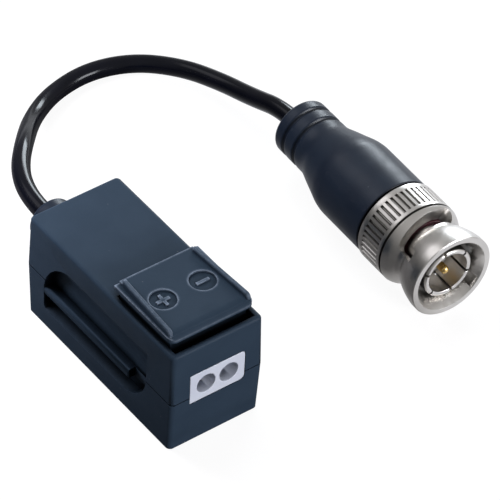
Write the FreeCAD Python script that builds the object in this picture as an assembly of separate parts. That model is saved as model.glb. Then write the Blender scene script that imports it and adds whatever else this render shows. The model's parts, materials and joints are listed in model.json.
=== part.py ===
# Video balun: a two-part plastic housing with a push-in wire terminal and a
# press lever, and a short coaxial lead that ends in a moulded bayonet plug.
# Millimetres. Origin: middle of the housing's underside. +Z up, -Y the side
# that the wires enter, +X to the right seen from there.
import FreeCAD, Part
import math
import os

V = FreeCAD.Vector
X_AXIS = V(1, 0, 0)
Y_AXIS = V(0, 1, 0)
Z_AXIS = V(0, 0, 1)
SLACK = 1.0  # how far a cutting tool runs past what it cuts

# Clearances
RUNNING_CLEARANCE = 0.05
SLIP_CLEARANCE = 0.05
LEVER_CLEARANCE = 0.25
SPRING_CLEARANCE = 0.3
TONGUE_CLEARANCE = 0.08
BOOT_GAP = 0.3

# Housing
HOUSING_WIDTH = 16.5
HOUSING_LENGTH = 37.1
HOUSING_HEIGHT = 18.8
PARTING_HEIGHT = 9.45
WALL = 1.2
FLOOR = 1.2
ROOF = 1.2
SIDE_DRAFT_TOP = 0.18
END_DRAFT_TOP = 0.28
SIDE_DRAFT_BOTTOM = 0.13
END_DRAFT_BOTTOM = 0.44
CORNER_RADIUS = 0.8
TOP_EDGE_RADIUS = 0.6
PARTING_GROOVE_DEPTH = 0.12
PARTING_GROOVE_HEIGHT = 0.16
TONGUE_THICKNESS = 0.6
TONGUE_HEIGHT = 0.8
LEDGE_WIDTH = 0.95
LEDGE_HEIGHT = 2.0

# Grip recess in each side, with the fin that runs along it
RECESS_DEPTH = 1.7
RECESS_FROM_FRONT = 6.4
RECESS_FROM_REAR = 4.5
RECESS_FROM_TOP = 3.75
RECESS_SLOPE = 3.3
RECESS_BOTTOM = 3.5
RECESS_LIP = 0.7
RECESS_REAR_RADIUS = 8.0
RECESS_FRONT_RADIUS = 6.5
RECESS_FOOT_RADIUS = 0.8
FIN_ABOVE_BOTTOM = 2.7
FIN_THICKNESS = 1.7
FIN_STEP_LENGTH = 4.6
FIN_STEP_DEPTH = 1.35
FIN_NOSE_RADIUS = 0.6

# Window and wire terminal
WINDOW_WIDTH = 10.0
WINDOW_HEIGHT = 5.7
WINDOW_MIDDLE = 10.92
WINDOW_RADIUS_LEFT = 0.25
WINDOW_RADIUS_RIGHT = 0.8
WIRE_HOLE_RADIUS = 1.675
WIRE_PITCH = 4.1
WIRE_HOLE_LENGTH = 5.0
BLOCK_LENGTH = 9.75
BLOCK_ABOVE_WIRES = 3.98
BLOCK_FLANGE_GAP = 0.45
BLOCK_FLANGE_THICKNESS = 1.5
CHAMBER_LENGTH = 4.7
CHAMBER_DEPTH = 6.5
SHELF_LENGTH = 3.6
SHELF_THICKNESS = 0.8

# Clamp springs and contacts
STRIP_THICKNESS = 0.3
STRIP_WIDTH = 2.6
CLAMP_LENGTH = 3.9
CLAMP_HEIGHT = 5.8
CLAMP_REAR_RADIUS = 1.2
CLAMP_FRONT_RADIUS = 0.8
CLAMP_BLADE_GAP = 1.0
CONTACT_PIN = 0.8
CONTACT_PIN_BACK = 0.7
CONTACT_PROUD = 0.3

# Press lever and its hinge
LEVER_FROM_FRONT = 1.65
LEVER_LENGTH = 14.2
LEVER_INSET = 0.75
LEVER_LIFT = 1.4
LEVER_FLANGE = 0.75
LEVER_PLATE = 1.15
LEVER_LEDGE_FRONT = 0.15
LEVER_LEDGE_REAR = 0.95
LEVER_NOSE_LENGTH = 1.9
LEVER_NOSE_THICKNESS = 0.3
LEVER_NOSE_BOW = 0.22
LEVER_CORNER_RADIUS = 1.2
RAIL_WIDTH = 0.7
RAIL_HEIGHT = 0.7
RAIL_FROM_FRONT = 0.7
RAIL_FROM_REAR = 0.65
RAIL_NOSE_RADIUS = 0.8
RAIL_EDGE_RADIUS = 0.22
SKIRT_DEPTH = 2.9
SKIRT_WALL = 1.0
SKIRT_FRONT_GAP = 1.6
OPENING_BEHIND_LEVER = 0.3
DISC_RADIUS = 2.1
DISC_DEPTH = 0.35
DISC_X = 3.55
DISC_FROM_FRONT = 7.54
SIGN_LENGTH = 2.3
SIGN_WIDTH = 0.5
SIGN_HEIGHT = 0.25
HINGE_BEHIND_LEVER = 2.7
HINGE_PIN_RADIUS = 0.8
HINGE_PIN_SEAT = 1.15
HUB_RADIUS = 1.45
HUB_WIDTH = 3.0
HUB_END_PLAY = 0.15
ARM_DEPTH = 2.2
BOSS_HALF_LENGTH = 1.9
BOSS_DROP = 1.7
BOSS_SLOT_WIDTH = 1.4
FOOT_SIZE = 2.0

# Circuit board and what it carries
BOARD_THICKNESS = 1.2
BOARD_REAR_GAP = 2.75
BOARD_EDGE_GAP = 0.15
BOARD_FRONT_GAP = 0.35
CORE_OUTER_RADIUS = 3.5
CORE_INNER_RADIUS = 1.7
CORE_HEIGHT = 3.2
CORE_GAP = 4.9
WIRE_THICKNESS = 0.4
WIRE_BORE_GAP = 0.1
TURNS = 14
DIODE_LENGTH = 4.3
DIODE_WIDTH = 2.8
DIODE_HEIGHT = 2.1
DIODE_GAP = 1.15
DIODE_X = 2.6
LEAD_THICKNESS = 0.2
LEAD_WIDTH = 1.6
LEAD_REACH = 0.5
DISC_CAP_RADIUS = 1.9
DISC_CAP_THICKNESS = 1.3
DISC_CAP_ROUND = 0.52
DISC_CAP_GAP = 0.5
CAP_LEAD_RADIUS = 0.25
CAP_LEAD_SPACING = 2.5
CAP_STAND_OFF = 0.8

# Cable and gland
CABLE_RADIUS = 1.5
DIELECTRIC_RADIUS = 0.9
CONDUCTOR_RADIUS = 0.35
GLAND_HEIGHT = 9.45
GLAND_NECK_RADIUS = 2.6
GLAND_FLANGE_RADIUS = 3.3
GLAND_FLANGE_THICKNESS = 1.2
GLAND_COLLAR_RADIUS = 4.0
GLAND_COLLAR_LENGTH = 1.2
GLAND_SLEEVE_RADIUS = 3.7
GLAND_SLEEVE_ROUND = 0.8
GLAND_LENGTH = 6.3
TAIL_JACKET = 1.2
TAIL_DIELECTRIC = 1.4
TAIL_BEND = 1.0
# The lead's route between the gland's face and the boot's face
ROUTE = [
    (0.0, 28.3, 9.45),
    (0.95, 32.8, 9.4),
    (3.15, 37.0, 9.1),
    (7.5, 42.2, 7.9),
    (15.0, 50.95, 2.6),
    (21.7, 55.1, 1.6),
    (29.5, 56.2, 1.7),
    (36.8, 53.7, 1.9),
    (42.2, 48.0, 2.2),
    (44.6, 40.8, 3.2),
    (45.35, 33.7, 4.8),
    (45.99, 26.4, 7.25),
]
ARC_SHARE = 0.45

# Plug: the middle of its front, its heading, and its pieces from front to rear
PLUG_X = 44.2
PLUG_Y = -18.15
PLUG_TURN = 2.3
NUT_RADIUS = 7.25
NUT_FACE_WIDTH = 1.0
NUT_MOUTH_DEPTH = 2.4
NUT_BORE_RADIUS = 4.95
NUT_RIM = 1.2
NUT_TAPER_DROP = 0.85
NUT_TAPER_LENGTH = 3.3
NUT_TAPER_BOW = 0.11
NUT_NECK_CUT = 1.4
NUT_NECK_BOW = 0.12
NUT_NECK_START = 5.3
NUT_NECK_LENGTH = 1.0
NUT_SHOULDER_LENGTH = 2.1
NUT_SHOULDER_BOW = 0.21
NUT_EDGE = 0.15
NUT_REAR_EDGE = 0.3
RING_GROOVE_WIDTH = 0.45
RING_GROOVE_DEPTH = 0.5
RING_WIDTH = 0.65
KNURL_LENGTH = 3.8
KNURL_COUNT = 48
KNURL_DEPTH = 0.35
KNURL_TIP_SHARE = 0.5
KNURL_FOOT_SHARE = 0.8
NUT_LIP_LENGTH = 1.2
NUT_STOP_THICKNESS = 1.0
NUT_REAR_WALL = 1.65
KEYWAY_DEPTH = 1.0
SLOT_WIDTH = 1.9
SLOT_ENTRY_ANGLE = 52.0
SLOT_SWEEP = 90.0
SLOT_ENTRY_LENGTH = 2.7
SLOT_BEHIND_NECK = 0.6
SLOT_RISE = 1.1
DETENT_RADIUS = 1.05
COLLET_FRONT = 0.8
COLLET_RADIUS = 4.3
COLLET_WALL = 0.75
COLLET_CHAMFER = 0.2
COLLET_SLITS = 6
COLLET_SLIT_WIDTH = 0.4
COLLET_SLIT_ANGLE = 12.0
COLLET_LENGTH = 6.65
GASKET_SEAT = 0.3
GASKET_GAP = 0.1
GASKET_LENGTH = 0.9
BODY_FLANGE_GAP = 0.2
BODY_FLANGE_LENGTH = 0.8
BODY_TUBE_RADIUS = 3.6
BODY_TUBE_IN_BOOT = 0.7
BODY_NECK_RADIUS = 2.4
BODY_NECK_LENGTH = 6.5
CIRCLIP_THICKNESS = 0.6
CIRCLIP_DEPTH = 0.35
CIRCLIP_PROUD = 0.8
CIRCLIP_GAP = 1.6
CIRCLIP_END_PLAY = 0.1
WASHER_ROOM = 1.0
WASHER_THICKNESS = 0.25
WASHER_WAVES = 3
WASHER_POINTS = 36
INSULATOR_FACE = 5.2
INSULATOR_HEAD = 4.0
INSULATOR_SHANK = 2.8
INSULATOR_SHANK_RADIUS = 2.9
PIN_RADIUS = 0.685
PIN_TIP = 1.2
PIN_COLLAR_RADIUS = 1.0
PIN_TAIL = 1.0
FERRULE_WALL = 0.5
FERRULE_GAP = 0.3
FERRULE_TAIL = 1.0
BOOT_STEP = 0.2
BOOT_BARREL = 10.6
BOOT_SHOULDER_LENGTH = 2.8
BOOT_SHOULDER_DROP = 0.8
BOOT_SHOULDER_BOW = 0.12
BOOT_FLARE = 7.67
BOOT_WAIST_LENGTH = 1.92
BOOT_WAIST_RISE = 0.55
BOOT_WAIST_BOW = 0.08
BOOT_NECK_RADIUS = 4.77
BOOT_NECK_LENGTH = 5.93
BOOT_END_ROUND = 0.9
BOOT_RINGS = (0.83, 3.63)
BOOT_RING_WIDTH = 0.5
BOOT_RING_DEPTH = 0.35

# Places worked out from the sizes above: housing
HALF_WIDTH = HOUSING_WIDTH / 2
HALF_LENGTH = HOUSING_LENGTH / 2
INNER_HALF_WIDTH = HALF_WIDTH - WALL
INNER_HALF_LENGTH = HALF_LENGTH - WALL
NARROW_HALF_WIDTH = HALF_WIDTH - RECESS_DEPTH - WALL
ROOF_UNDERSIDE = HOUSING_HEIGHT - ROOF
RECESS_FRONT = RECESS_FROM_FRONT - HALF_LENGTH
RECESS_REAR = HALF_LENGTH - RECESS_FROM_REAR
RECESS_TOP = HOUSING_HEIGHT - RECESS_FROM_TOP
RECESS_KNEE = RECESS_TOP - RECESS_SLOPE
RECESS_FOOT = RECESS_BOTTOM + RECESS_LIP
FIN_BOTTOM = RECESS_BOTTOM + FIN_ABOVE_BOTTOM
FIN_STEP_Y = RECESS_FRONT + FIN_STEP_LENGTH
BOARD_UNDERSIDE = FLOOR + LEDGE_HEIGHT
BOARD_TOP = BOARD_UNDERSIDE + BOARD_THICKNESS
BOARD_REAR = INNER_HALF_LENGTH - BOARD_REAR_GAP

# Places: terminal
WIRE_X = (-WIRE_PITCH / 2, WIRE_PITCH / 2)
BLOCK_HALF_WIDTH = NARROW_HALF_WIDTH - BOARD_EDGE_GAP
BLOCK_TOP = WINDOW_MIDDLE + BLOCK_ABOVE_WIRES
BLOCK_REAR = BLOCK_LENGTH - INNER_HALF_LENGTH
WIRE_HOLE_END = WIRE_HOLE_LENGTH - HALF_LENGTH + SLIP_CLEARANCE
CHAMBER_REAR = WIRE_HOLE_END + CHAMBER_LENGTH
CHAMBER_FLOOR = BLOCK_TOP - CHAMBER_DEPTH
CLAMP_BOTTOM = CHAMBER_FLOOR + STRIP_THICKNESS
CLAMP_REAR = CHAMBER_REAR - SPRING_CLEARANCE / 2

# Places: lever
LEVER_FRONT = LEVER_FROM_FRONT - HALF_LENGTH
LEVER_REAR = LEVER_FRONT + LEVER_LENGTH
LEVER_HALF_WIDTH = HALF_WIDTH - LEVER_INSET
LEVER_UNDERSIDE = HOUSING_HEIGHT + LEVER_LIFT
LEVER_LEDGE = LEVER_UNDERSIDE + LEVER_FLANGE
LEVER_TOP = LEVER_UNDERSIDE + LEVER_PLATE
LEVER_NOSE_START = LEVER_FRONT + LEVER_NOSE_LENGTH
LEVER_NOSE_EDGE = LEVER_UNDERSIDE + LEVER_NOSE_THICKNESS
RAIL_FRONT = LEVER_FRONT + RAIL_FROM_FRONT
RAIL_REAR = LEVER_REAR - RAIL_FROM_REAR
RAIL_TOP = LEVER_TOP + RAIL_HEIGHT
SKIRT_BOTTOM = LEVER_UNDERSIDE - SKIRT_DEPTH
OPENING_REAR = LEVER_REAR - OPENING_BEHIND_LEVER
DISC_Y = LEVER_FRONT + DISC_FROM_FRONT
DISC_FLOOR = LEVER_TOP - DISC_DEPTH
HINGE_Y = LEVER_REAR + HINGE_BEHIND_LEVER
HINGE_Z = ROOF_UNDERSIDE - LEVER_CLEARANCE - HUB_RADIUS
HUB_OUTER = BLOCK_HALF_WIDTH
BOSS_INNER = HUB_OUTER + HUB_END_PLAY
HINGE_PIN_HALF = BOSS_INNER + HINGE_PIN_SEAT

# Places: board parts
CORE_BASE = BOARD_TOP + WIRE_THICKNESS + SLIP_CLEARANCE
CORE_Y = BLOCK_REAR + CORE_GAP + CORE_OUTER_RADIUS
DIODE_Y = CORE_Y + CORE_OUTER_RADIUS + DIODE_GAP + DIODE_LENGTH / 2
DISC_CAP_Y = DIODE_Y + DIODE_LENGTH / 2 + DISC_CAP_GAP + DISC_CAP_THICKNESS / 2
TAIL_JACKET_END = INNER_HALF_LENGTH - GLAND_FLANGE_THICKNESS - TAIL_JACKET
TAIL_CORE_END = TAIL_JACKET_END - TAIL_DIELECTRIC
TAIL_DROP_Y = TAIL_CORE_END - TAIL_BEND - SLIP_CLEARANCE

# Places: plug, as distances behind its front
NUT_MOUTH_RADIUS = NUT_RADIUS - NUT_FACE_WIDTH
NUT_NECK_RADIUS = NUT_RADIUS - NUT_NECK_CUT
NUT_NECK_END = NUT_NECK_START + NUT_NECK_LENGTH
NUT_SHOULDER = NUT_NECK_END + NUT_SHOULDER_LENGTH
RING_START = NUT_SHOULDER + RING_GROOVE_WIDTH
KNURL_START = RING_START + RING_WIDTH
KNURL_END = KNURL_START + KNURL_LENGTH
NUT_LENGTH = KNURL_END + NUT_LIP_LENGTH
NUT_REAR_BORE = NUT_RADIUS - NUT_REAR_WALL
KNURL_ROOT = NUT_RADIUS - KNURL_DEPTH
KEYWAY_RADIUS = NUT_BORE_RADIUS + KEYWAY_DEPTH
SLOT_START = NUT_NECK_START + SLOT_BEHIND_NECK
SLOT_ENTRY = SLOT_START - SLOT_ENTRY_LENGTH
COLLET_BORE = COLLET_RADIUS - COLLET_WALL
GASKET_START = COLLET_FRONT + COLLET_LENGTH
GASKET_OUTER = NUT_BORE_RADIUS - GASKET_GAP
BODY_FLANGE = GASKET_START + GASKET_LENGTH + SLIP_CLEARANCE
BODY_FLANGE_END = BODY_FLANGE + BODY_FLANGE_LENGTH
BODY_FLANGE_RADIUS = NUT_BORE_RADIUS - BODY_FLANGE_GAP
NUT_STOP = BODY_FLANGE_END + WASHER_ROOM
NUT_STOP_END = NUT_STOP + NUT_STOP_THICKNESS
NUT_STOP_BORE = BODY_TUBE_RADIUS + RUNNING_CLEARANCE
CIRCLIP_START = NUT_STOP_END + CIRCLIP_END_PLAY
CIRCLIP_INNER = BODY_TUBE_RADIUS - CIRCLIP_DEPTH
CIRCLIP_OUTER = BODY_TUBE_RADIUS + CIRCLIP_PROUD
BOOT_START = NUT_LENGTH + BOOT_GAP
BOOT_RADIUS = NUT_RADIUS - BOOT_STEP
BOOT_FLARE_START = BOOT_START + BOOT_BARREL
BOOT_FLARE_END = BOOT_FLARE_START + BOOT_FLARE
BOOT_END = BOOT_FLARE_END + BOOT_NECK_LENGTH
BODY_TUBE_END = BOOT_START + BODY_TUBE_IN_BOOT
BODY_NECK_END = BODY_TUBE_END + BODY_NECK_LENGTH
INSULATOR_STEP = INSULATOR_FACE + INSULATOR_HEAD
INSULATOR_END = INSULATOR_STEP + INSULATOR_SHANK
PIN_END = INSULATOR_END + PIN_TAIL
FERRULE_RADIUS = BODY_NECK_RADIUS + FERRULE_WALL
FERRULE_START = BODY_TUBE_END + FERRULE_GAP
FERRULE_END = BODY_NECK_END + FERRULE_TAIL


# Helpers
def box(x0, x1, y0, y1, z0, z1):
    """A block between two corners."""
    return Part.makeBox(x1 - x0, y1 - y0, z1 - z0, V(x0, y0, z0))


def wide_box(half_width, y0, y1, z0, z1):
    """A block that is centred on the housing's middle plane."""
    return box(-half_width, half_width, y0, y1, z0, z1)


def rod(radius, start, end):
    """A round bar between two points."""
    return Part.makeCylinder(radius, start.distanceToPoint(end), start, end - start)


def mirrored(shape):
    """The same form on the other side of the housing."""
    return shape.mirror(V(0, 0, 0), X_AXIS)


def polygon_prism(points, depth):
    """Extrude the closed outline of points by the vector depth."""
    outline = Part.makePolygon(points + [points[0]])
    return Part.Face(outline).extrude(depth)


def outline_face(start, legs, place):
    """Close lines (one point) and arcs (a middle and an end point) into a face."""
    edges = []
    here = start
    for leg in legs:
        if len(leg) == 1:
            edges.append(Part.makeLine(place(here), place(leg[0])))
        else:
            edges.append(Part.Arc(place(here), place(leg[0]), place(leg[1])).toShape())
        here = leg[-1]
    edges.append(Part.makeLine(place(here), place(start)))
    return Part.Face(Part.Wire(edges))


def bowed(start, end, bow):
    """An arc leg to end that bows out to the right of its way."""
    along, up = end[0] - start[0], end[1] - start[1]
    share = bow / math.hypot(along, up)
    middle = ((start[0] + end[0]) / 2 + share * up, (start[1] + end[1]) / 2 - share * along)
    return [middle, end]


def turned(start, *legs):
    """Turn an outline of (radius, distance) points about the Y axis."""
    face = outline_face(start, legs, lambda p: V(p[0], p[1], 0))
    return face.revolve(V(0, 0, 0), Y_AXIS, 360)


def ring(inner, outer, start, end):
    """A plain ring about the Y axis."""
    return turned((inner, start), [(outer, start)], [(outer, end)], [(inner, end)])


def section(inset_x, inset_y, z):
    """The housing's rectangle at one height, drawn in by its draft."""
    x = HALF_WIDTH - inset_x
    y = HALF_LENGTH - inset_y
    corners = [V(-x, -y, z), V(x, -y, z), V(x, y, z), V(-x, y, z)]
    return Part.makePolygon(corners + [corners[0]])


def upright_edges(shape):
    """The edges that run mostly upwards."""
    found = []
    for edge in shape.Edges:
        a, b = edge.Vertexes[0].Point, edge.Vertexes[-1].Point
        if abs(a.z - b.z) > 0.9 * edge.Length:
            found.append(edge)
    return found


def edges_at_height(shape, z):
    """The edges that lie level at height z."""
    return [e for e in shape.Edges if abs(e.BoundBox.ZMin - z) < 1e-6 and abs(e.BoundBox.ZMax - z) < 1e-6]


# Housing
def lower_block():
    """The outside of the base: drafted, with rounded corners."""
    foot = section(SIDE_DRAFT_BOTTOM, END_DRAFT_BOTTOM, 0)
    brim = section(0, 0, PARTING_HEIGHT)
    block = Part.makeLoft([foot, brim], True, True)
    return block.makeFillet(CORNER_RADIUS, upright_edges(block))


def upper_block():
    """The outside of the cover: drafted, with rounded corners and top edges."""
    brim = section(0, 0, PARTING_HEIGHT)
    crown = section(SIDE_DRAFT_TOP, END_DRAFT_TOP, HOUSING_HEIGHT)
    block = Part.makeLoft([brim, crown], True, True)
    block = block.makeFillet(CORNER_RADIUS, upright_edges(block))
    return block.makeFillet(TOP_EDGE_RADIUS, edges_at_height(block, HOUSING_HEIGHT))


def recess_profile(wall):
    """The recess's cross section seen along Y, grown inwards by a wall."""
    inner = HALF_WIDTH - RECESS_DEPTH - wall
    outer = HALF_WIDTH + SLACK
    rise = RECESS_SLOPE * SLACK / RECESS_DEPTH
    top = RECESS_TOP + wall
    foot = (inner, RECESS_FOOT) if wall == 0 else (inner, 0)
    toe = (outer, RECESS_BOTTOM - RECESS_LIP * SLACK / RECESS_DEPTH) if wall == 0 else (outer, 0)
    knee = RECESS_KNEE + wall
    return [(outer, top + rise), (inner, knee), foot, toe]


def recess_pocket():
    """The hollow in the right side, with a sharp corner in front at the top only."""
    points = [V(x, RECESS_FRONT, z) for x, z in recess_profile(0)]
    band = polygon_prism(points, V(0, RECESS_REAR - RECESS_FRONT, 0))
    x0 = HALF_WIDTH - RECESS_DEPTH - SLACK
    x1 = HALF_WIDTH + 2 * SLACK
    window = box(x0, x1, RECESS_FRONT, RECESS_REAR, RECESS_BOTTOM, RECESS_TOP)
    corners = [
        (RECESS_REAR, RECESS_TOP, RECESS_REAR_RADIUS),
        (RECESS_FRONT, RECESS_BOTTOM, RECESS_FRONT_RADIUS),
        (RECESS_REAR, RECESS_BOTTOM, RECESS_FOOT_RADIUS),
    ]
    for y, z, radius in corners:
        window = window.makeFillet(radius, [e for e in window.Edges if is_along_x(e, y, z)])
    return band.common(window)


def is_along_x(edge, y, z):
    """Whether an edge runs along X through the given place."""
    b = edge.BoundBox
    level = abs(b.YMin - y) < 1e-6 and abs(b.YMax - y) < 1e-6
    return level and abs(b.ZMin - z) < 1e-6 and abs(b.ZMax - z) < 1e-6


def recess_wall():
    """What the recess takes from the space inside, its wall included."""
    points = [V(x, RECESS_FRONT - WALL, z) for x, z in recess_profile(WALL)]
    return polygon_prism(points, V(0, RECESS_REAR - RECESS_FRONT + 2 * WALL, 0))


def cavity():
    """The space inside the closed housing."""
    space = wide_box(INNER_HALF_WIDTH, -INNER_HALF_LENGTH, INNER_HALF_LENGTH, FLOOR, ROOF_UNDERSIDE)
    wall = recess_wall()
    return space.cut([wall, mirrored(wall)])


def parting_ring(thickness, height):
    """A ring that stands on the parting plane round the cavity."""
    w, n = INNER_HALF_WIDTH, NARROW_HALF_WIDTH
    y0, y1 = RECESS_FRONT - WALL, RECESS_REAR + WALL
    e = INNER_HALF_LENGTH
    right = [(w, -e), (w, y0), (n, y0), (n, y1), (w, y1), (w, e)]
    left = [(-x, y) for x, y in reversed(right)]
    points = [V(x, y, PARTING_HEIGHT) for x, y in right + left]
    inner = Part.Face(Part.makePolygon(points + [points[0]]))
    outer = inner.makeOffset2D(thickness, 2)
    return outer.cut(inner).extrude(V(0, 0, height))


def parting_groove():
    """The fine line round the housing where base and cover meet."""
    half = PARTING_GROOVE_HEIGHT / 2
    low, high = PARTING_HEIGHT - half, PARTING_HEIGHT + half
    outside = wide_box(HALF_WIDTH + SLACK, -HALF_LENGTH - SLACK, HALF_LENGTH + SLACK, low, high)
    depth = PARTING_GROOVE_DEPTH
    inside = wide_box(HALF_WIDTH - depth, depth - HALF_LENGTH, HALF_LENGTH - depth, low, high)
    inside = inside.makeFillet(CORNER_RADIUS - depth, upright_edges(inside))
    return outside.cut(inside)


def window_prism(gap, y0, y1):
    """The terminal window's outline, drawn in by a gap, from y0 to y1."""
    x, z = WINDOW_WIDTH / 2 - gap, WINDOW_HEIGHT / 2 - gap
    prism = box(-x, x, y0, y1, WINDOW_MIDDLE - z, WINDOW_MIDDLE + z)
    left = [e for e in prism.Edges if is_along_y(e, -x)]
    prism = prism.makeFillet(WINDOW_RADIUS_LEFT - gap, left)
    right = [e for e in prism.Edges if is_along_y(e, x)]
    return prism.makeFillet(WINDOW_RADIUS_RIGHT - gap, right)


def is_along_y(edge, x):
    """Whether an edge runs along Y at the given X."""
    b = edge.BoundBox
    return abs(b.XMin - x) < 1e-6 and abs(b.XMax - x) < 1e-6 and b.YLength > 0.9 * edge.Length


def window_opening():
    """The hole in the front wall."""
    return window_prism(0, -HALF_LENGTH - SLACK, SLIP_CLEARANCE - INNER_HALF_LENGTH)


def gland_opening():
    """The hole in the rear wall."""
    start = V(0, INNER_HALF_LENGTH - SLACK, GLAND_HEIGHT)
    end = V(0, HALF_LENGTH + SLACK, GLAND_HEIGHT)
    return rod(GLAND_NECK_RADIUS + SLIP_CLEARANCE, start, end)


def fin(low, high):
    """The fin along the right recess, set back to a low rib at its front end."""
    back = HALF_WIDTH - RECESS_DEPTH - WALL / 2
    reach = HALF_WIDTH - SIDE_DRAFT_BOTTOM * (1 - FIN_BOTTOM / PARTING_HEIGHT)
    long_part = box(back, reach, FIN_STEP_Y, RECESS_REAR, low, high)
    long_part = long_part.makeFillet(FIN_NOSE_RADIUS, [e for e in long_part.Edges if is_along_y(e, reach)])
    step = box(back, reach - FIN_STEP_DEPTH, RECESS_FRONT, FIN_STEP_Y, low, high)
    return long_part.fuse(step)


def board_ledges():
    """Two ledges along the base that the circuit board lies on."""
    x0 = NARROW_HALF_WIDTH - LEDGE_WIDTH
    ledge = box(x0, INNER_HALF_WIDTH, -INNER_HALF_LENGTH, BOARD_REAR, FLOOR, BOARD_UNDERSIDE)
    return [ledge, mirrored(ledge)]


def housing_base():
    """The lower shell, with the tongue that locates the cover."""
    pocket = recess_pocket()
    fin_bar = fin(FIN_BOTTOM, FIN_BOTTOM + FIN_THICKNESS)
    shell = lower_block().cut(cavity())
    shell = shell.fuse([parting_ring(TONGUE_THICKNESS, TONGUE_HEIGHT)] + board_ledges())
    shell = shell.cut([pocket, mirrored(pocket), window_opening(), gland_opening(), parting_groove()])
    return shell.fuse([fin_bar, mirrored(fin_bar)]).removeSplitter()


def hinge_bosses():
    """Two bosses under the roof that the hinge pin snaps into from below."""
    low = HINGE_Z - BOSS_DROP
    y0, y1 = HINGE_Y - BOSS_HALF_LENGTH, HINGE_Y + BOSS_HALF_LENGTH
    boss = box(BOSS_INNER, INNER_HALF_WIDTH, y0, y1, low, ROOF_UNDERSIDE)
    end = HINGE_PIN_HALF + SLIP_CLEARANCE
    hole = rod(HINGE_PIN_RADIUS, V(BOSS_INNER - SLACK, HINGE_Y, HINGE_Z), V(end, HINGE_Y, HINGE_Z))
    half = BOSS_SLOT_WIDTH / 2
    slot = box(BOSS_INNER - SLACK, end, HINGE_Y - half, HINGE_Y + half, low - SLACK, HINGE_Z)
    boss = boss.cut([hole, slot])
    return [boss, mirrored(boss)]


def lever_opening():
    """The opening in the roof that the lever works in."""
    return wide_box(INNER_HALF_WIDTH, -INNER_HALF_LENGTH, OPENING_REAR, HINGE_Z, HOUSING_HEIGHT + SLACK)


def block_shelf():
    """A shelf on the front wall that holds the terminal block down."""
    low = BLOCK_TOP + SLIP_CLEARANCE
    rear = SHELF_LENGTH - INNER_HALF_LENGTH
    return wide_box(INNER_HALF_WIDTH, -INNER_HALF_LENGTH, rear, low, low + SHELF_THICKNESS)


def housing_cover():
    """The upper shell, open under the lever."""
    pocket = recess_pocket()
    rebate = parting_ring(TONGUE_THICKNESS + TONGUE_CLEARANCE, TONGUE_HEIGHT + TONGUE_CLEARANCE)
    shell = upper_block().cut([cavity(), lever_opening(), rebate])
    shell = shell.fuse(hinge_bosses() + [block_shelf()])
    cuts = [pocket, mirrored(pocket), window_opening(), gland_opening(), parting_groove()]
    return shell.cut(cuts).removeSplitter()


# Press lever
def plate_side(y):
    """How far the narrower top of the plate reaches sideways at y."""
    share = (y - LEVER_FRONT) / LEVER_LENGTH
    return LEVER_HALF_WIDTH - LEVER_LEDGE_FRONT - share * (LEVER_LEDGE_REAR - LEVER_LEDGE_FRONT)


def lever_plan(front_half, rear_half, height):
    """The lever's plan outline as a tall prism with rounded front corners."""
    y0, y1 = LEVER_FRONT, LEVER_REAR
    outline = [(-front_half, y0), (front_half, y0), (rear_half, y1), (-rear_half, y1)]
    points = [V(x, y, LEVER_UNDERSIDE) for x, y in outline]
    prism = polygon_prism(points, V(0, 0, height - LEVER_UNDERSIDE))
    corners = [e for e in upright_edges(prism) if e.BoundBox.YMin < (y0 + y1) / 2]
    return prism.makeFillet(LEVER_CORNER_RADIUS, corners)


def lever_side_profile():
    """The press plate seen from the side, with its rounded-down nose."""
    brow, tip = (LEVER_NOSE_START, LEVER_TOP), (LEVER_FRONT, LEVER_NOSE_EDGE)
    face = outline_face(
        (LEVER_REAR, LEVER_UNDERSIDE),
        [
            [(LEVER_REAR, LEVER_TOP)],
            [brow],
            bowed(brow, tip, LEVER_NOSE_BOW),
            [(LEVER_FRONT, LEVER_UNDERSIDE)],
        ],
        lambda p: V(-LEVER_HALF_WIDTH, p[0], p[1]),
    )
    return face.extrude(V(2 * LEVER_HALF_WIDTH, 0, 0))


def lever_plate():
    """The plate that the thumb presses: a flange and a narrower top."""
    flange = lever_plan(LEVER_HALF_WIDTH, LEVER_HALF_WIDTH, LEVER_LEDGE)
    top = lever_plan(plate_side(LEVER_FRONT), plate_side(LEVER_REAR), LEVER_TOP)
    return flange.fuse(top).common(lever_side_profile())


def lever_rails():
    """The two raised rails, which close in on each other towards the hinge."""
    outer = [(plate_side(y), y) for y in (RAIL_FRONT, RAIL_REAR)]
    inner = [(x - RAIL_WIDTH, y) for x, y in reversed(outer)]
    points = [V(x, y, LEVER_LEDGE) for x, y in outer + inner]
    rail = polygon_prism(points, V(0, 0, RAIL_TOP - LEVER_LEDGE))
    front_top = [e for e in rail.Edges if is_along_x(e, RAIL_FRONT, RAIL_TOP)]
    rail = rail.makeFillet(RAIL_NOSE_RADIUS, front_top)
    rail = rail.makeFillet(RAIL_EDGE_RADIUS, upright_edges(rail) + edges_at_height(rail, RAIL_TOP))
    return [rail, mirrored(rail)]


def sign_bar(x, length_x, length_y):
    """One raised stroke of a polarity sign in its disc."""
    z0 = DISC_FLOOR
    x0, x1 = x - length_x / 2, x + length_x / 2
    return box(x0, x1, DISC_Y - length_y / 2, DISC_Y + length_y / 2, z0, z0 + SIGN_HEIGHT)


def polarity_signs():
    """A plus on the left and a minus on the right."""
    plus = sign_bar(-DISC_X, SIGN_LENGTH, SIGN_WIDTH).fuse(sign_bar(-DISC_X, SIGN_WIDTH, SIGN_LENGTH))
    return [plus, sign_bar(DISC_X, SIGN_LENGTH, SIGN_WIDTH)]


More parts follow.
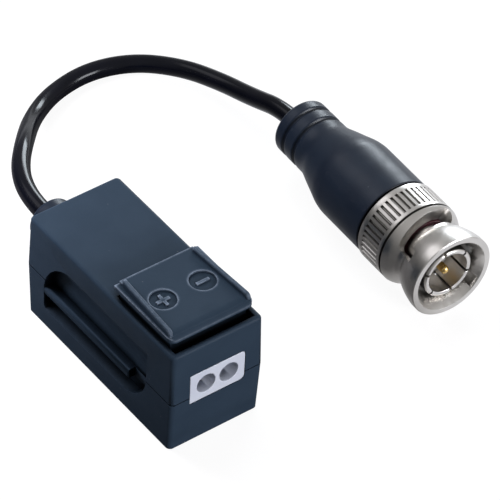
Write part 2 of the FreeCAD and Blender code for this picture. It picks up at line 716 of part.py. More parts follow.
def lever_skirt():
    """The hollow skirt that guides the lever in the opening."""
    half = INNER_HALF_WIDTH - LEVER_CLEARANCE
    front = SKIRT_FRONT_GAP - INNER_HALF_LENGTH
    rear = OPENING_REAR - LEVER_CLEARANCE
    outside = wide_box(half, front, rear, SKIRT_BOTTOM, LEVER_UNDERSIDE)
    w = SKIRT_WALL
    inside = wide_box(half - w, front + w, rear - w, SKIRT_BOTTOM - SLACK, LEVER_UNDERSIDE)
    return outside.cut(inside)


def lever_arms():
    """Two arms from the skirt to the hinge hubs."""
    x0, x1 = HUB_OUTER - HUB_WIDTH, HUB_OUTER
    rear = OPENING_REAR - LEVER_CLEARANCE - SKIRT_WALL
    top = HINGE_Z + HUB_RADIUS
    arm = box(x0, x1, rear, HINGE_Y, top - ARM_DEPTH, top)
    hub = rod(HUB_RADIUS, V(x0, HINGE_Y, HINGE_Z), V(x1, HINGE_Y, HINGE_Z))
    arm = arm.fuse(hub)
    return [arm, mirrored(arm)]


def lever_feet():
    """Two feet that stand just over the clamp springs."""
    half = FOOT_SIZE / 2
    y = CLAMP_REAR - CLAMP_LENGTH / 2
    low = CLAMP_BOTTOM + CLAMP_HEIGHT + SPRING_CLEARANCE
    return [box(x - half, x + half, y - half, y + half, low, LEVER_UNDERSIDE) for x in WIRE_X]


def press_lever():
    """The lever that opens the wire clamps."""
    discs = [Part.makeCylinder(DISC_RADIUS, SLACK, V(x, DISC_Y, DISC_FLOOR)) for x in (-DISC_X, DISC_X)]
    plate = lever_plate().cut(discs).fuse(polarity_signs())
    lever = plate.fuse(lever_rails() + [lever_skirt()] + lever_arms() + lever_feet())
    reach = HUB_OUTER + SLACK
    bore = rod(HINGE_PIN_RADIUS + RUNNING_CLEARANCE, V(-reach, HINGE_Y, HINGE_Z), V(reach, HINGE_Y, HINGE_Z))
    return lever.cut(bore).removeSplitter()


def hinge_pin():
    """The steel pin that the lever turns on."""
    half = HINGE_PIN_HALF
    return rod(HINGE_PIN_RADIUS, V(-half, HINGE_Y, HINGE_Z), V(half, HINGE_Y, HINGE_Z))


# Wire terminal
def terminal_block():
    """The white block: two wire holes in front, a spring chamber behind each."""
    front = SLIP_CLEARANCE - HALF_LENGTH
    nose = window_prism(SLIP_CLEARANCE, front, BLOCK_FLANGE_THICKNESS - INNER_HALF_LENGTH)
    body = wide_box(BLOCK_HALF_WIDTH, -INNER_HALF_LENGTH, BLOCK_REAR, BOARD_TOP, BLOCK_TOP)
    flange_rear = BLOCK_FLANGE_THICKNESS - INNER_HALF_LENGTH
    half = INNER_HALF_WIDTH - BLOCK_FLANGE_GAP
    flange = wide_box(half, -INNER_HALF_LENGTH, flange_rear, BOARD_TOP, BLOCK_TOP)
    cuts = []
    for x in WIRE_X:
        cuts += [wire_hole(x), spring_chamber(x), contact_slot(x)]
    return nose.fuse([body, flange]).cut(cuts).removeSplitter()


def wire_hole(x):
    """The round hole that a wire is pushed into."""
    start = V(x, -HALF_LENGTH - SLACK, WINDOW_MIDDLE)
    return rod(WIRE_HOLE_RADIUS, start, V(x, WIRE_HOLE_END, WINDOW_MIDDLE))


def spring_chamber(x):
    """The chamber behind a wire hole, open at the top."""
    half = WIRE_HOLE_RADIUS
    return box(x - half, x + half, WIRE_HOLE_END, CHAMBER_REAR, CHAMBER_FLOOR, BLOCK_TOP + SLACK)


def contact_slot(x):
    """The slot that a contact's pin passes down through."""
    half = CONTACT_PIN / 2 + SLIP_CLEARANCE
    y = CHAMBER_REAR - CONTACT_PIN_BACK - CONTACT_PIN / 2
    return box(x - half, x + half, y - half, y + half, BOARD_UNDERSIDE - SLACK, CHAMBER_FLOOR + SLACK)


def strip_along(edges, x):
    """A flat spring strip that follows edges drawn in the plane at x."""
    path = Part.Wire(edges)
    start = edges[0].Vertexes[0].Point
    half_w, half_t = STRIP_WIDTH / 2, STRIP_THICKNESS / 2
    corners = [
        V(x - half_w, start.y, start.z - half_t),
        V(x + half_w, start.y, start.z - half_t),
        V(x + half_w, start.y, start.z + half_t),
        V(x - half_w, start.y, start.z + half_t),
    ]
    return path.makePipeShell([Part.makePolygon(corners + [corners[0]])], True, False)


def quarter_bend(x, y, z, radius, from_angle, to_angle):
    """An arc in the plane at x about (y, z), by angles from +Y towards +Z."""
    angles = (from_angle, (from_angle + to_angle) / 2, to_angle)
    spots = []
    for angle in angles:
        a = math.radians(angle)
        spots.append(V(x, y + radius * math.cos(a), z + radius * math.sin(a)))
    return Part.Arc(spots[0], spots[1], spots[2]).toShape()


def clamp_spring(x):
    """A bent strip: foot on the contact, back, top leg and blade in front."""
    half = STRIP_THICKNESS / 2
    r, f = CLAMP_REAR_RADIUS, CLAMP_FRONT_RADIUS
    y1 = CLAMP_REAR - half
    y0 = CLAMP_REAR - CLAMP_LENGTH + half
    z0 = CLAMP_BOTTOM + half
    z1 = CLAMP_BOTTOM + CLAMP_HEIGHT - half
    blade_end = z0 + CLAMP_BLADE_GAP
    edges = [
        Part.makeLine(V(x, y0, z0), V(x, y1 - r, z0)),
        quarter_bend(x, y1 - r, z0 + r, r, -90, 0),
        Part.makeLine(V(x, y1, z0 + r), V(x, y1, z1 - r)),
        quarter_bend(x, y1 - r, z1 - r, r, 0, 90),
        Part.makeLine(V(x, y1 - r, z1), V(x, y0 + f, z1)),
        quarter_bend(x, y0 + f, z1 - f, f, 90, 180),
        Part.makeLine(V(x, y0, z1 - f), V(x, y0, blade_end)),
    ]
    return strip_along(edges, x)


def contact_bar(x):
    """A plate on the chamber's floor with a pin down to the board."""
    half = STRIP_WIDTH / 2
    plate = box(x - half, x + half, CLAMP_REAR - CLAMP_LENGTH, CLAMP_REAR, CHAMBER_FLOOR, CLAMP_BOTTOM)
    p = CONTACT_PIN / 2
    y = CHAMBER_REAR - CONTACT_PIN_BACK - p
    pin = box(x - p, x + p, y - p, y + p, BOARD_UNDERSIDE - CONTACT_PROUD, CHAMBER_FLOOR)
    return plate.fuse(pin).removeSplitter()


# Circuit board and parts
def circuit_board():
    """The board on the base's ledges, with holes for the pins and leads."""
    front = BOARD_FRONT_GAP - INNER_HALF_LENGTH
    board = wide_box(BLOCK_HALF_WIDTH, front, BOARD_REAR, BOARD_UNDERSIDE, BOARD_TOP)
    holes = [contact_slot(x) for x in WIRE_X]
    drill = CAP_LEAD_RADIUS + SLIP_CLEARANCE
    for x in (-CAP_LEAD_SPACING / 2, CAP_LEAD_SPACING / 2):
        low = V(x, DISC_CAP_Y, BOARD_UNDERSIDE - SLACK)
        holes.append(rod(drill, low, V(x, DISC_CAP_Y, BOARD_TOP + SLACK)))
    low = V(0, TAIL_DROP_Y, BOARD_UNDERSIDE - SLACK)
    holes.append(rod(CONDUCTOR_RADIUS + SLIP_CLEARANCE, low, V(0, TAIL_DROP_Y, BOARD_TOP + SLACK)))
    return board.cut(holes)


def transformer_core():
    """The ferrite ring of the matching transformer."""
    centre = V(0, CORE_Y, CORE_BASE)
    outer = Part.makeCylinder(CORE_OUTER_RADIUS, CORE_HEIGHT, centre)
    return outer.cut(Part.makeCylinder(CORE_INNER_RADIUS, CORE_HEIGHT, centre))


def winding_turn(angle):
    """One turn of wire round the core's section."""
    t, g = WIRE_THICKNESS, SLIP_CLEARANCE
    z0, z1 = CORE_BASE - g, CORE_BASE + CORE_HEIGHT + g
    r0, r1 = CORE_INNER_RADIUS - WIRE_BORE_GAP, CORE_OUTER_RADIUS + g
    frame = box(r0 - t, r1 + t, -t / 2, t / 2, z0 - t + g, z1 + t)
    turn = frame.cut(box(r0, r1, -t, t, z0, z1))
    turn.rotate(V(0, 0, 0), Z_AXIS, angle)
    turn.translate(V(0, CORE_Y, 0))
    return turn


def transformer_winding():
    """All the turns, spaced evenly on the core."""
    return Part.makeCompound([winding_turn(360 * n / TURNS) for n in range(TURNS)])


def surge_diode(x):
    """A moulded surge suppressor with a lead folded under each end."""
    half_l, half_w = DIODE_LENGTH / 2, DIODE_WIDTH / 2
    z0 = BOARD_TOP + LEAD_THICKNESS
    body = box(x - half_w, x + half_w, DIODE_Y - half_l, DIODE_Y + half_l, z0, z0 + DIODE_HEIGHT)
    body = body.makeChamfer(LEAD_THICKNESS, edges_at_height(body, z0 + DIODE_HEIGHT))
    leads = []
    for side in (-1, 1):
        y0 = DIODE_Y + side * (half_l - LEAD_REACH)
        y1 = DIODE_Y + side * (half_l + LEAD_REACH)
        low, high = min(y0, y1), max(y0, y1)
        half = LEAD_WIDTH / 2
        leads.append(box(x - half, x + half, low, high, BOARD_TOP, z0))
    return body.fuse(leads).removeSplitter()


def disc_capacitor():
    """A disc capacitor on two leads."""
    z = BOARD_TOP + CAP_STAND_OFF + DISC_CAP_RADIUS
    half = DISC_CAP_THICKNESS / 2
    disc = rod(DISC_CAP_RADIUS, V(0, DISC_CAP_Y - half, z), V(0, DISC_CAP_Y + half, z))
    disc = disc.makeFillet(DISC_CAP_ROUND, [e for e in disc.Edges if e.BoundBox.YLength < 1e-6])
    leads = []
    for x in (-CAP_LEAD_SPACING / 2, CAP_LEAD_SPACING / 2):
        top = V(x, DISC_CAP_Y, z)
        leads.append(rod(CAP_LEAD_RADIUS, V(x, DISC_CAP_Y, BOARD_UNDERSIDE - CONTACT_PROUD), top))
    return disc.fuse(leads).removeSplitter()


# Cable and gland
def cable_gland():
    """The collar that holds the cable in the rear wall."""
    inner = INNER_HALF_LENGTH - GLAND_FLANGE_THICKNESS
    collar = HALF_LENGTH + GLAND_COLLAR_LENGTH
    end = HALF_LENGTH + GLAND_LENGTH
    edge = (GLAND_SLEEVE_RADIUS, end - GLAND_SLEEVE_ROUND)
    tip = (GLAND_SLEEVE_RADIUS - GLAND_SLEEVE_ROUND, end)
    gland = turned(
        (CABLE_RADIUS, inner),
        [(GLAND_FLANGE_RADIUS, inner)],
        [(GLAND_FLANGE_RADIUS, INNER_HALF_LENGTH)],
        [(GLAND_NECK_RADIUS, INNER_HALF_LENGTH)],
        [(GLAND_NECK_RADIUS, HALF_LENGTH)],
        [(GLAND_COLLAR_RADIUS, HALF_LENGTH)],
        [(GLAND_COLLAR_RADIUS, collar)],
        [(GLAND_SLEEVE_RADIUS, collar)],
        [edge],
        bowed(edge, tip, GLAND_SLEEVE_ROUND * (1 - math.sqrt(0.5))),
        [(CABLE_RADIUS, end)],
    )
    gland.translate(V(0, 0, GLAND_HEIGHT))
    return gland


def cable_tail():
    """The lead's stripped inner end, from the gland to the board."""
    z = GLAND_HEIGHT
    y = TAIL_DROP_Y
    jacket = rod(CABLE_RADIUS, V(0, HALF_LENGTH + GLAND_LENGTH, z), V(0, TAIL_JACKET_END, z))
    core = rod(DIELECTRIC_RADIUS, V(0, TAIL_JACKET_END, z), V(0, TAIL_CORE_END, z))
    edges = [
        Part.makeLine(V(0, TAIL_CORE_END, z), V(0, y + TAIL_BEND, z)),
        quarter_bend(0, y + TAIL_BEND, z - TAIL_BEND, TAIL_BEND, 90, 180),
        Part.makeLine(V(0, y, z - TAIL_BEND), V(0, y, BOARD_UNDERSIDE - CONTACT_PROUD)),
    ]
    circle = Part.Wire(Part.makeCircle(CONDUCTOR_RADIUS, V(0, TAIL_CORE_END, z), Y_AXIS))
    wire = Part.Wire(edges).makePipeShell([circle], True, False)
    return jacket.fuse([core, wire]).removeSplitter()


def route_points():
    """The lead's route, from the gland's face to the boot's face."""
    start = V(0, HALF_LENGTH + GLAND_LENGTH, GLAND_HEIGHT)
    end = plug_point(BOOT_END)
    return [start] + [V(*p) for p in ROUTE] + [end]


def bend(before, corner, after):
    """The largest arc that a corner of the route has room for."""
    u = (before - corner).normalize()
    w = (after - corner).normalize()
    turn = math.pi - u.getAngle(w)
    back = ARC_SHARE * min(before.distanceToPoint(corner), after.distanceToPoint(corner))
    radius = back / math.tan(turn / 2)
    bisector = (u + w).normalize()
    middle = corner + bisector * (radius / math.cos(turn / 2) - radius)
    print("cable corner turns %.1f degrees with radius %.1f" % (math.degrees(turn), radius))
    return corner + u * back, middle, corner + w * back


def coax_cable():
    """The lead: straight runs joined by arcs."""
    points = route_points()
    edges = []
    here = points[0]
    for i in range(1, len(points) - 1):
        arc_start, middle, arc_end = bend(points[i - 1], points[i], points[i + 1])
        edges.append(Part.makeLine(here, arc_start))
        edges.append(Part.Arc(arc_start, middle, arc_end).toShape())
        here = arc_end
    edges.append(Part.makeLine(here, points[-1]))
    path = Part.Wire(edges)
    circle = Part.Wire(Part.makeCircle(CABLE_RADIUS, points[0], Y_AXIS))
    tube = path.makePipeShell([circle], True, False)
    expected = math.pi * CABLE_RADIUS**2 * path.Length
    print("cable length %.2f, volume %.2f, section by length %.2f" % (path.Length, tube.Volume, expected))
    return tube


# Plug: built about the Y axis, with its front at the origin
def in_place(shape):
    """Set a plug piece down at the end of the lead."""
    shape.rotate(V(0, 0, 0), Z_AXIS, -PLUG_TURN)
    shape.translate(V(PLUG_X, PLUG_Y, NUT_RADIUS))
    return shape


def plug_point(distance):
    """A point on the plug's axis, by its distance behind the front."""
    turn = math.radians(PLUG_TURN)
    return V(PLUG_X + distance * math.sin(turn), PLUG_Y + distance * math.cos(turn), NUT_RADIUS)


def nut_blank():
    """The coupling nut as turned, before its slots and knurl are cut."""
    r = NUT_RADIUS
    e = NUT_EDGE
    brow = (r, NUT_RIM)
    taper = (r - NUT_TAPER_DROP, NUT_RIM + NUT_TAPER_LENGTH)
    neck, neck_end = (NUT_NECK_RADIUS, NUT_NECK_START), (NUT_NECK_RADIUS, NUT_NECK_END)
    shoulder = (r, NUT_SHOULDER)
    return turned(
        (NUT_MOUTH_RADIUS, 0),
        [(r - e, 0)],
        [(r, e)],
        [brow],
        bowed(brow, taper, NUT_TAPER_BOW),
        bowed(taper, neck, -NUT_NECK_BOW),
        [neck_end],
        bowed(neck_end, shoulder, NUT_SHOULDER_BOW),
        [(r - RING_GROOVE_DEPTH, NUT_SHOULDER + e)],
        [(r - RING_GROOVE_DEPTH, RING_START)],
        [(r, RING_START)],
        [(r, KNURL_START)],
        [(KNURL_ROOT, KNURL_START)],
        [(KNURL_ROOT, KNURL_END)],
        [(r, KNURL_END)],
        [(r, NUT_LENGTH - NUT_REAR_EDGE)],
        [(r - NUT_REAR_EDGE, NUT_LENGTH)],
        [(NUT_REAR_BORE, NUT_LENGTH)],
        [(NUT_REAR_BORE, NUT_STOP_END)],
        [(NUT_STOP_BORE, NUT_STOP_END)],
        [(NUT_STOP_BORE, NUT_STOP)],
        [(NUT_BORE_RADIUS, NUT_STOP)],
        [(NUT_BORE_RADIUS, NUT_MOUTH_DEPTH)],
    )


def knurl_band():
    """Straight ridges round the nut, as one fluted ring."""
    root = KNURL_ROOT
    pitch = 2 * math.pi / KNURL_COUNT
    tip, foot = KNURL_TIP_SHARE * pitch / 2, KNURL_FOOT_SHARE * pitch / 2
    points = []
    for n in range(KNURL_COUNT):
        middle = n * pitch
        spots = ((root, -foot), (NUT_RADIUS, -tip), (NUT_RADIUS, tip), (root, foot))
        for radius, offset in spots:
            angle = middle + offset
            points.append(V(radius * math.cos(angle), KNURL_START, radius * math.sin(angle)))
    outline = Part.makePolygon(points + [points[0]])
    hole = Part.Wire(Part.makeCircle(root - KNURL_DEPTH, V(0, KNURL_START, 0), Y_AXIS))
    face = Part.Face(outline).cut(Part.Face(hole))
    return face.extrude(V(0, KNURL_LENGTH, 0))


def spiral_cutter():
    """The bayonet slot as a solid about the Z axis: entry, spiral and detent."""
    half = SLOT_WIDTH / 2
    r0, r1 = NUT_BORE_RADIUS - SLACK / 2, NUT_RADIUS + SLACK
    pitch = SLOT_RISE * 360 / SLOT_SWEEP
    helix = Part.makeHelix(pitch, SLOT_RISE, NUT_NECK_RADIUS)
    corners = [V(r0, 0, -half), V(r1, 0, -half), V(r1, 0, half), V(r0, 0, half)]
    band = Part.Wire(helix.Edges).makePipeShell([Part.makePolygon(corners + [corners[0]])], True, True)
    band.translate(V(0, 0, SLOT_START))
    entry = box(r0, r1, -half, half, SLOT_ENTRY, SLOT_START)
    entry_end = rod(half, V(r0, 0, SLOT_START), V(r1, 0, SLOT_START))
    detent_at = SLOT_START + SLOT_RISE
    detent = rod(DETENT_RADIUS, V(r0, 0, detent_at), V(r1, 0, detent_at))
    detent.rotate(V(0, 0, 0), Z_AXIS, SLOT_SWEEP)
    keyway = box(r0, KEYWAY_RADIUS, -half, half, -SLACK, SLOT_START)
    return [band, entry, entry_end, detent, keyway]


def bayonet_slots():
    """Both slots, turned to lie about the Y axis."""
    tools = []
    for half_turn in (0, 180):
        for tool in spiral_cutter():
            tool.rotate(V(0, 0, 0), Z_AXIS, half_turn - 90 - SLOT_ENTRY_ANGLE)
            tool.rotate(V(0, 0, 0), X_AXIS, -90)
            tools.append(tool)
    return tools


def coupling_nut():
    """The knurled nut with its two bayonet slots."""
    return nut_blank().fuse(knurl_band()).cut(bayonet_slots()).removeSplitter()


def collet_slits():
    """Narrow cuts that let the front of the plug body spring."""
    half = COLLET_SLIT_WIDTH / 2
    slits = []
    for n in range(COLLET_SLITS):
        inner, outer = COLLET_BORE - SLACK, COLLET_RADIUS + SLACK
        slit = box(-half, half, COLLET_FRONT - SLACK, INSULATOR_FACE, inner, outer)
        slit.rotate(V(0, 0, 0), Y_AXIS, -(COLLET_SLIT_ANGLE + n * 360 / COLLET_SLITS))
        slits.append(slit)
    return slits


def plug_body():
    """The turned body: slotted collet, flange, tube and crimp neck."""
    c = COLLET_CHAMFER
    seat = COLLET_RADIUS - GASKET_SEAT
    groove_end = CIRCLIP_START + CIRCLIP_THICKNESS
    body = turned(
        (COLLET_BORE, COLLET_FRONT + c / 2),
        [(COLLET_BORE + c, COLLET_FRONT)],
        [(COLLET_RADIUS - c, COLLET_FRONT)],
        [(COLLET_RADIUS, COLLET_FRONT + c)],
        [(COLLET_RADIUS, GASKET_START)],
        [(seat, GASKET_START)],
        [(seat, BODY_FLANGE)],
        [(BODY_FLANGE_RADIUS, BODY_FLANGE)],
        [(BODY_FLANGE_RADIUS, BODY_FLANGE_END)],
        [(BODY_TUBE_RADIUS, BODY_FLANGE_END)],
        [(BODY_TUBE_RADIUS, CIRCLIP_START)],
        [(CIRCLIP_INNER, CIRCLIP_START)],
        [(CIRCLIP_INNER, groove_end)],
        [(BODY_TUBE_RADIUS, groove_end)],
        [(BODY_TUBE_RADIUS, BODY_TUBE_END)],
        [(BODY_NECK_RADIUS, BODY_TUBE_END)],
        [(BODY_NECK_RADIUS, BODY_NECK_END)],
        [(CABLE_RADIUS, BODY_NECK_END)],
        [(CABLE_RADIUS, PIN_END)],
        [(PIN_COLLAR_RADIUS + SLIP_CLEARANCE, PIN_END)],
        [(PIN_COLLAR_RADIUS + SLIP_CLEARANCE, INSULATOR_END)],
        [(INSULATOR_SHANK_RADIUS, INSULATOR_END)],
        [(INSULATOR_SHANK_RADIUS, INSULATOR_STEP)],
        [(COLLET_BORE, INSULATOR_STEP)],
    )
    return body.cut(collet_slits()).removeSplitter()


def sealing_gasket():
    """The rubber ring that the mating socket closes on."""
    return ring(COLLET_RADIUS - GASKET_SEAT, GASKET_OUTER, GASKET_START, GASKET_START + GASKET_LENGTH)


def wave_curve(radius, start, lift):
    """A closed wavy line about the Y axis."""
    points = []
    for n in range(WASHER_POINTS):
        angle = 2 * math.pi * n / WASHER_POINTS
        y = start + lift * (1 + math.cos(WASHER_WAVES * angle)) / 2
        points.append(V(radius * math.cos(angle), y, radius * math.sin(angle)))
    curve = Part.BSplineCurve()
    curve.interpolate(Points=points, PeriodicFlag=True)
    return curve.toShape()


def wave_washer():
    """The sprung washer that draws the plug home."""
    start = BODY_FLANGE_END
    lift = WASHER_ROOM - WASHER_THICKNESS - RUNNING_CLEARANCE
    inner = NUT_STOP_BORE
    outer = BODY_FLANGE_RADIUS
    rims = [
        wave_curve(inner, start, lift),
        wave_curve(outer, start, lift),
        wave_curve(outer, start + WASHER_THICKNESS, lift),
        wave_curve(inner, start + WASHER_THICKNESS, lift),
    ]
    faces = [Part.makeRuledSurface(rims[i], rims[(i + 1) % 4]) for i in range(4)]
    solid = Part.Solid(Part.Shell(faces))
    if solid.Volume < 0:
        solid.reverse()
    return solid


def retaining_ring():
    """The open ring that keeps the nut on the body."""
    whole = ring(CIRCLIP_INNER, CIRCLIP_OUTER, CIRCLIP_START, CIRCLIP_START + CIRCLIP_THICKNESS)
    half = CIRCLIP_GAP / 2
    gap = box(-half, half, CIRCLIP_START - SLACK, CIRCLIP_START + 2 * SLACK, -CIRCLIP_OUTER - SLACK, 0)
    return whole.cut(gap)


def insulator():
    """The plastic bead that centres the contact."""
    return turned(
        (PIN_COLLAR_RADIUS, INSULATOR_FACE),
        [(COLLET_BORE, INSULATOR_FACE)],
        [(COLLET_BORE, INSULATOR_STEP)],
        [(INSULATOR_SHANK_RADIUS, INSULATOR_STEP)],
        [(INSULATOR_SHANK_RADIUS, INSULATOR_END)],
        [(PIN_COLLAR_RADIUS, INSULATOR_END)],
    )


def centre_contact():
    """The gilt pin, with its rounded tip."""
    r = PIN_RADIUS
    lean = math.sqrt(0.5)
    return turned(
        (0, PIN_TIP),
        [(r * lean, PIN_TIP + r * (1 - lean)), (r, PIN_TIP + r)],
        [(r, INSULATOR_FACE)],
        [(PIN_COLLAR_RADIUS, INSULATOR_FACE)],
        [(PIN_COLLAR_RADIUS, PIN_END)],
        [(0, PIN_END)],
    )


def crimp_ferrule():
    """The sleeve crimped over the braid on the body's neck."""
    neck = ring(BODY_NECK_RADIUS, FERRULE_RADIUS, FERRULE_START, BODY_NECK_END)
    return neck.fuse(ring(CABLE_RADIUS, FERRULE_RADIUS, BODY_NECK_END, FERRULE_END)).removeSplitter()


def plug_cable_end():
    """The lead's end inside the boot, stripped where it enters the plug."""
    return turned(
        (0, PIN_END),
        [(CABLE_RADIUS, PIN_END)],
        [(CABLE_RADIUS, BOOT_END)],
        [(0, BOOT_END)],
    )


def boot_outside():
    """The boot's outside: a barrel, a long flare and a ringed neck."""
    r, n = BOOT_RADIUS, BOOT_NECK_RADIUS
    brow = (r, BOOT_FLARE_START)
    knee = (r - BOOT_SHOULDER_DROP, BOOT_FLARE_START + BOOT_SHOULDER_LENGTH)
    waist = (n + BOOT_WAIST_RISE, BOOT_FLARE_END - BOOT_WAIST_LENGTH)
    e = BOOT_END_ROUND
    lean = e * (1 - math.sqrt(0.5))
    return turned(
        (0, BOOT_START),
        [(r - NUT_EDGE, BOOT_START)],
        [(r, BOOT_START + NUT_EDGE)],
        [brow],
        bowed(brow, knee, BOOT_SHOULDER_BOW),
        [waist],
        bowed(waist, (n, BOOT_FLARE_END), -BOOT_WAIST_BOW),
        [(n, BOOT_END - e)],
        [(n - lean, BOOT_END - lean), (n - e, BOOT_END)],
        [(0, BOOT_END)],
    )


def boot():
    """The strain relief moulded over the crimp and the lead."""
    n = BOOT_NECK_RADIUS
    half = BOOT_RING_WIDTH / 2
    places = [BOOT_FLARE_END + back for back in BOOT_RINGS]
    cuts = [ring(n - BOOT_RING_DEPTH, n + SLACK, s - half, s + half) for s in places]
    cuts.append(rod(BODY_TUBE_RADIUS, V(0, BOOT_START, 0), V(0, BODY_TUBE_END, 0)))
    cuts.append(rod(FERRULE_RADIUS, V(0, BODY_TUBE_END, 0), V(0, FERRULE_END, 0)))
    cuts.append(rod(CABLE_RADIUS, V(0, FERRULE_END, 0), V(0, BOOT_END, 0)))
    return boot_outside().cut(cuts).removeSplitter()


def housing_pieces():
    """Every piece in and on the housing."""
    return {
        "housing_base": housing_base(),
        "housing_cover": housing_cover(),
        "press_lever": press_lever(),
        "hinge_pin": hinge_pin(),
        "terminal_block": terminal_block(),
        "clamp_spring_left": clamp_spring(WIRE_X[0]),
        "clamp_spring_right": clamp_spring(WIRE_X[1]),
        "contact_bar_left": contact_bar(WIRE_X[0]),
        "contact_bar_right": contact_bar(WIRE_X[1]),
        "circuit_board": circuit_board(),
        "transformer_core": transformer_core(),
        "transformer_winding": transformer_winding(),
        "surge_diode_left": surge_diode(-DIODE_X),
        "surge_diode_right": surge_diode(DIODE_X),
        "disc_capacitor": disc_capacitor(),
        "cable_gland": cable_gland(),
        "cable_tail": cable_tail(),
        "coax_cable": coax_cable(),
    }


def plug_pieces():
    """Every piece of the plug, about its own axis."""
    return {
        "coupling_nut": coupling_nut(),
        "plug_body": plug_body(),
        "sealing_gasket": sealing_gasket(),
        "wave_washer": wave_washer(),
        "retaining_ring": retaining_ring(),
        "insulator": insulator(),
        "centre_contact": centre_contact(),
        "crimp_ferrule": crimp_ferrule(),
        "plug_cable_end": plug_cable_end(),
        "boot": boot(),
    }


def main():
    """Build every piece and write one file for each."""
    os.makedirs("parts", exist_ok=True)
    pieces = housing_pieces()
    for name, shape in plug_pieces().items():
        pieces[name] = in_place(shape)
    for name, shape in pieces.items():
        state = "valid" if shape.isValid() else "NOT VALID"
        print("%-20s solids %d volume %9.3f %s" % (name, len(shape.Solids), shape.Volume, state))
        shape.exportStep("parts/%s.step" % name)


main()
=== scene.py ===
"""Looks of a passive video balun.

A moulded two-part housing holds a push-in wire terminal under a press lever. A short coaxial lead leaves its
rear and ends in a moulded boot with a bayonet plug. Lengths in the dataclasses are millimetres, as on a
drawing, where they say nothing else. Meshes are in metres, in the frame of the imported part.
"""

import json
import logging
import math
from dataclasses import dataclass, field
from enum import Enum
from functools import cache

import bmesh
import bpy
import numpy as np
from mathutils import Matrix, Vector


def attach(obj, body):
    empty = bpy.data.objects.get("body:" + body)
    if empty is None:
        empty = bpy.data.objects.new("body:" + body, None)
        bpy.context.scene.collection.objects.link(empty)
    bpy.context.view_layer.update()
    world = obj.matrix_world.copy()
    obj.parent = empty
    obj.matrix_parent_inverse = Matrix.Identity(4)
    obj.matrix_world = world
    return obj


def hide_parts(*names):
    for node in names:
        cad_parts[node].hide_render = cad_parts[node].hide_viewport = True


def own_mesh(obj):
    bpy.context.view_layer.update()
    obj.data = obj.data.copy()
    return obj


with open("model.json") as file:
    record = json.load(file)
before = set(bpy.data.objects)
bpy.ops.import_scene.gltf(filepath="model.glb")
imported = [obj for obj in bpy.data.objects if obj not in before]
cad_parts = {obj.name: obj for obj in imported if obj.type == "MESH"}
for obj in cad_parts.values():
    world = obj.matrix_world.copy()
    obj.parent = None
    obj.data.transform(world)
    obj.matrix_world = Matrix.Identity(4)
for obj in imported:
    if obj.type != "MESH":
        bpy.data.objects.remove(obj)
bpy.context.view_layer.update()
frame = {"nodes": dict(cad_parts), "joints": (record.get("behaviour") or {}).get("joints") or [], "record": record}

MM = 0.001
LOG = logging.getLogger("balun")

Colour = tuple[float, float, float]
Point = tuple[float, float, float]
Socket = bpy.types.NodeSocket

WHITE = (1.0, 1.0, 1.0, 1.0)


class Body(Enum):
    """The bodies that pieces ride on."""

    HOUSING = "housing"
    LEVER = "lever"
    NUT = "nut"


class Slot(Enum):
    """The material slots of the record, one for each finish."""

    HOUSING = "housing_plastic"
    TERMINAL = "terminal_plastic"
    BOOT = "boot_plastic"
    CABLE = "cable_jacket"
    NICKEL = "nickel"
    GILT = "gilt"
    SPRING = "spring_steel"
    CONTACT = "contact_metal"
    BOARD = "board_laminate"
    FERRITE = "ferrite"
    WINDING = "winding_wire"
    BLACK_PART = "component_black"
    BLUE_PART = "component_blue"
    GASKET = "gasket_rubber"
    INSULATOR = "insulator_plastic"
    DIELECTRIC = "dielectric"


def add_object(name: str, data: bpy.types.ID) -> bpy.types.Object:
    """Make an object at the origin and link it to the scene.

    Args:
        name: Its name.
        data: Its mesh, curve, lamp or camera.

    Returns:
        The new object.
    """
    thing = bpy.data.objects.new(name, data)
    bpy.context.scene.collection.objects.link(thing)
    return thing


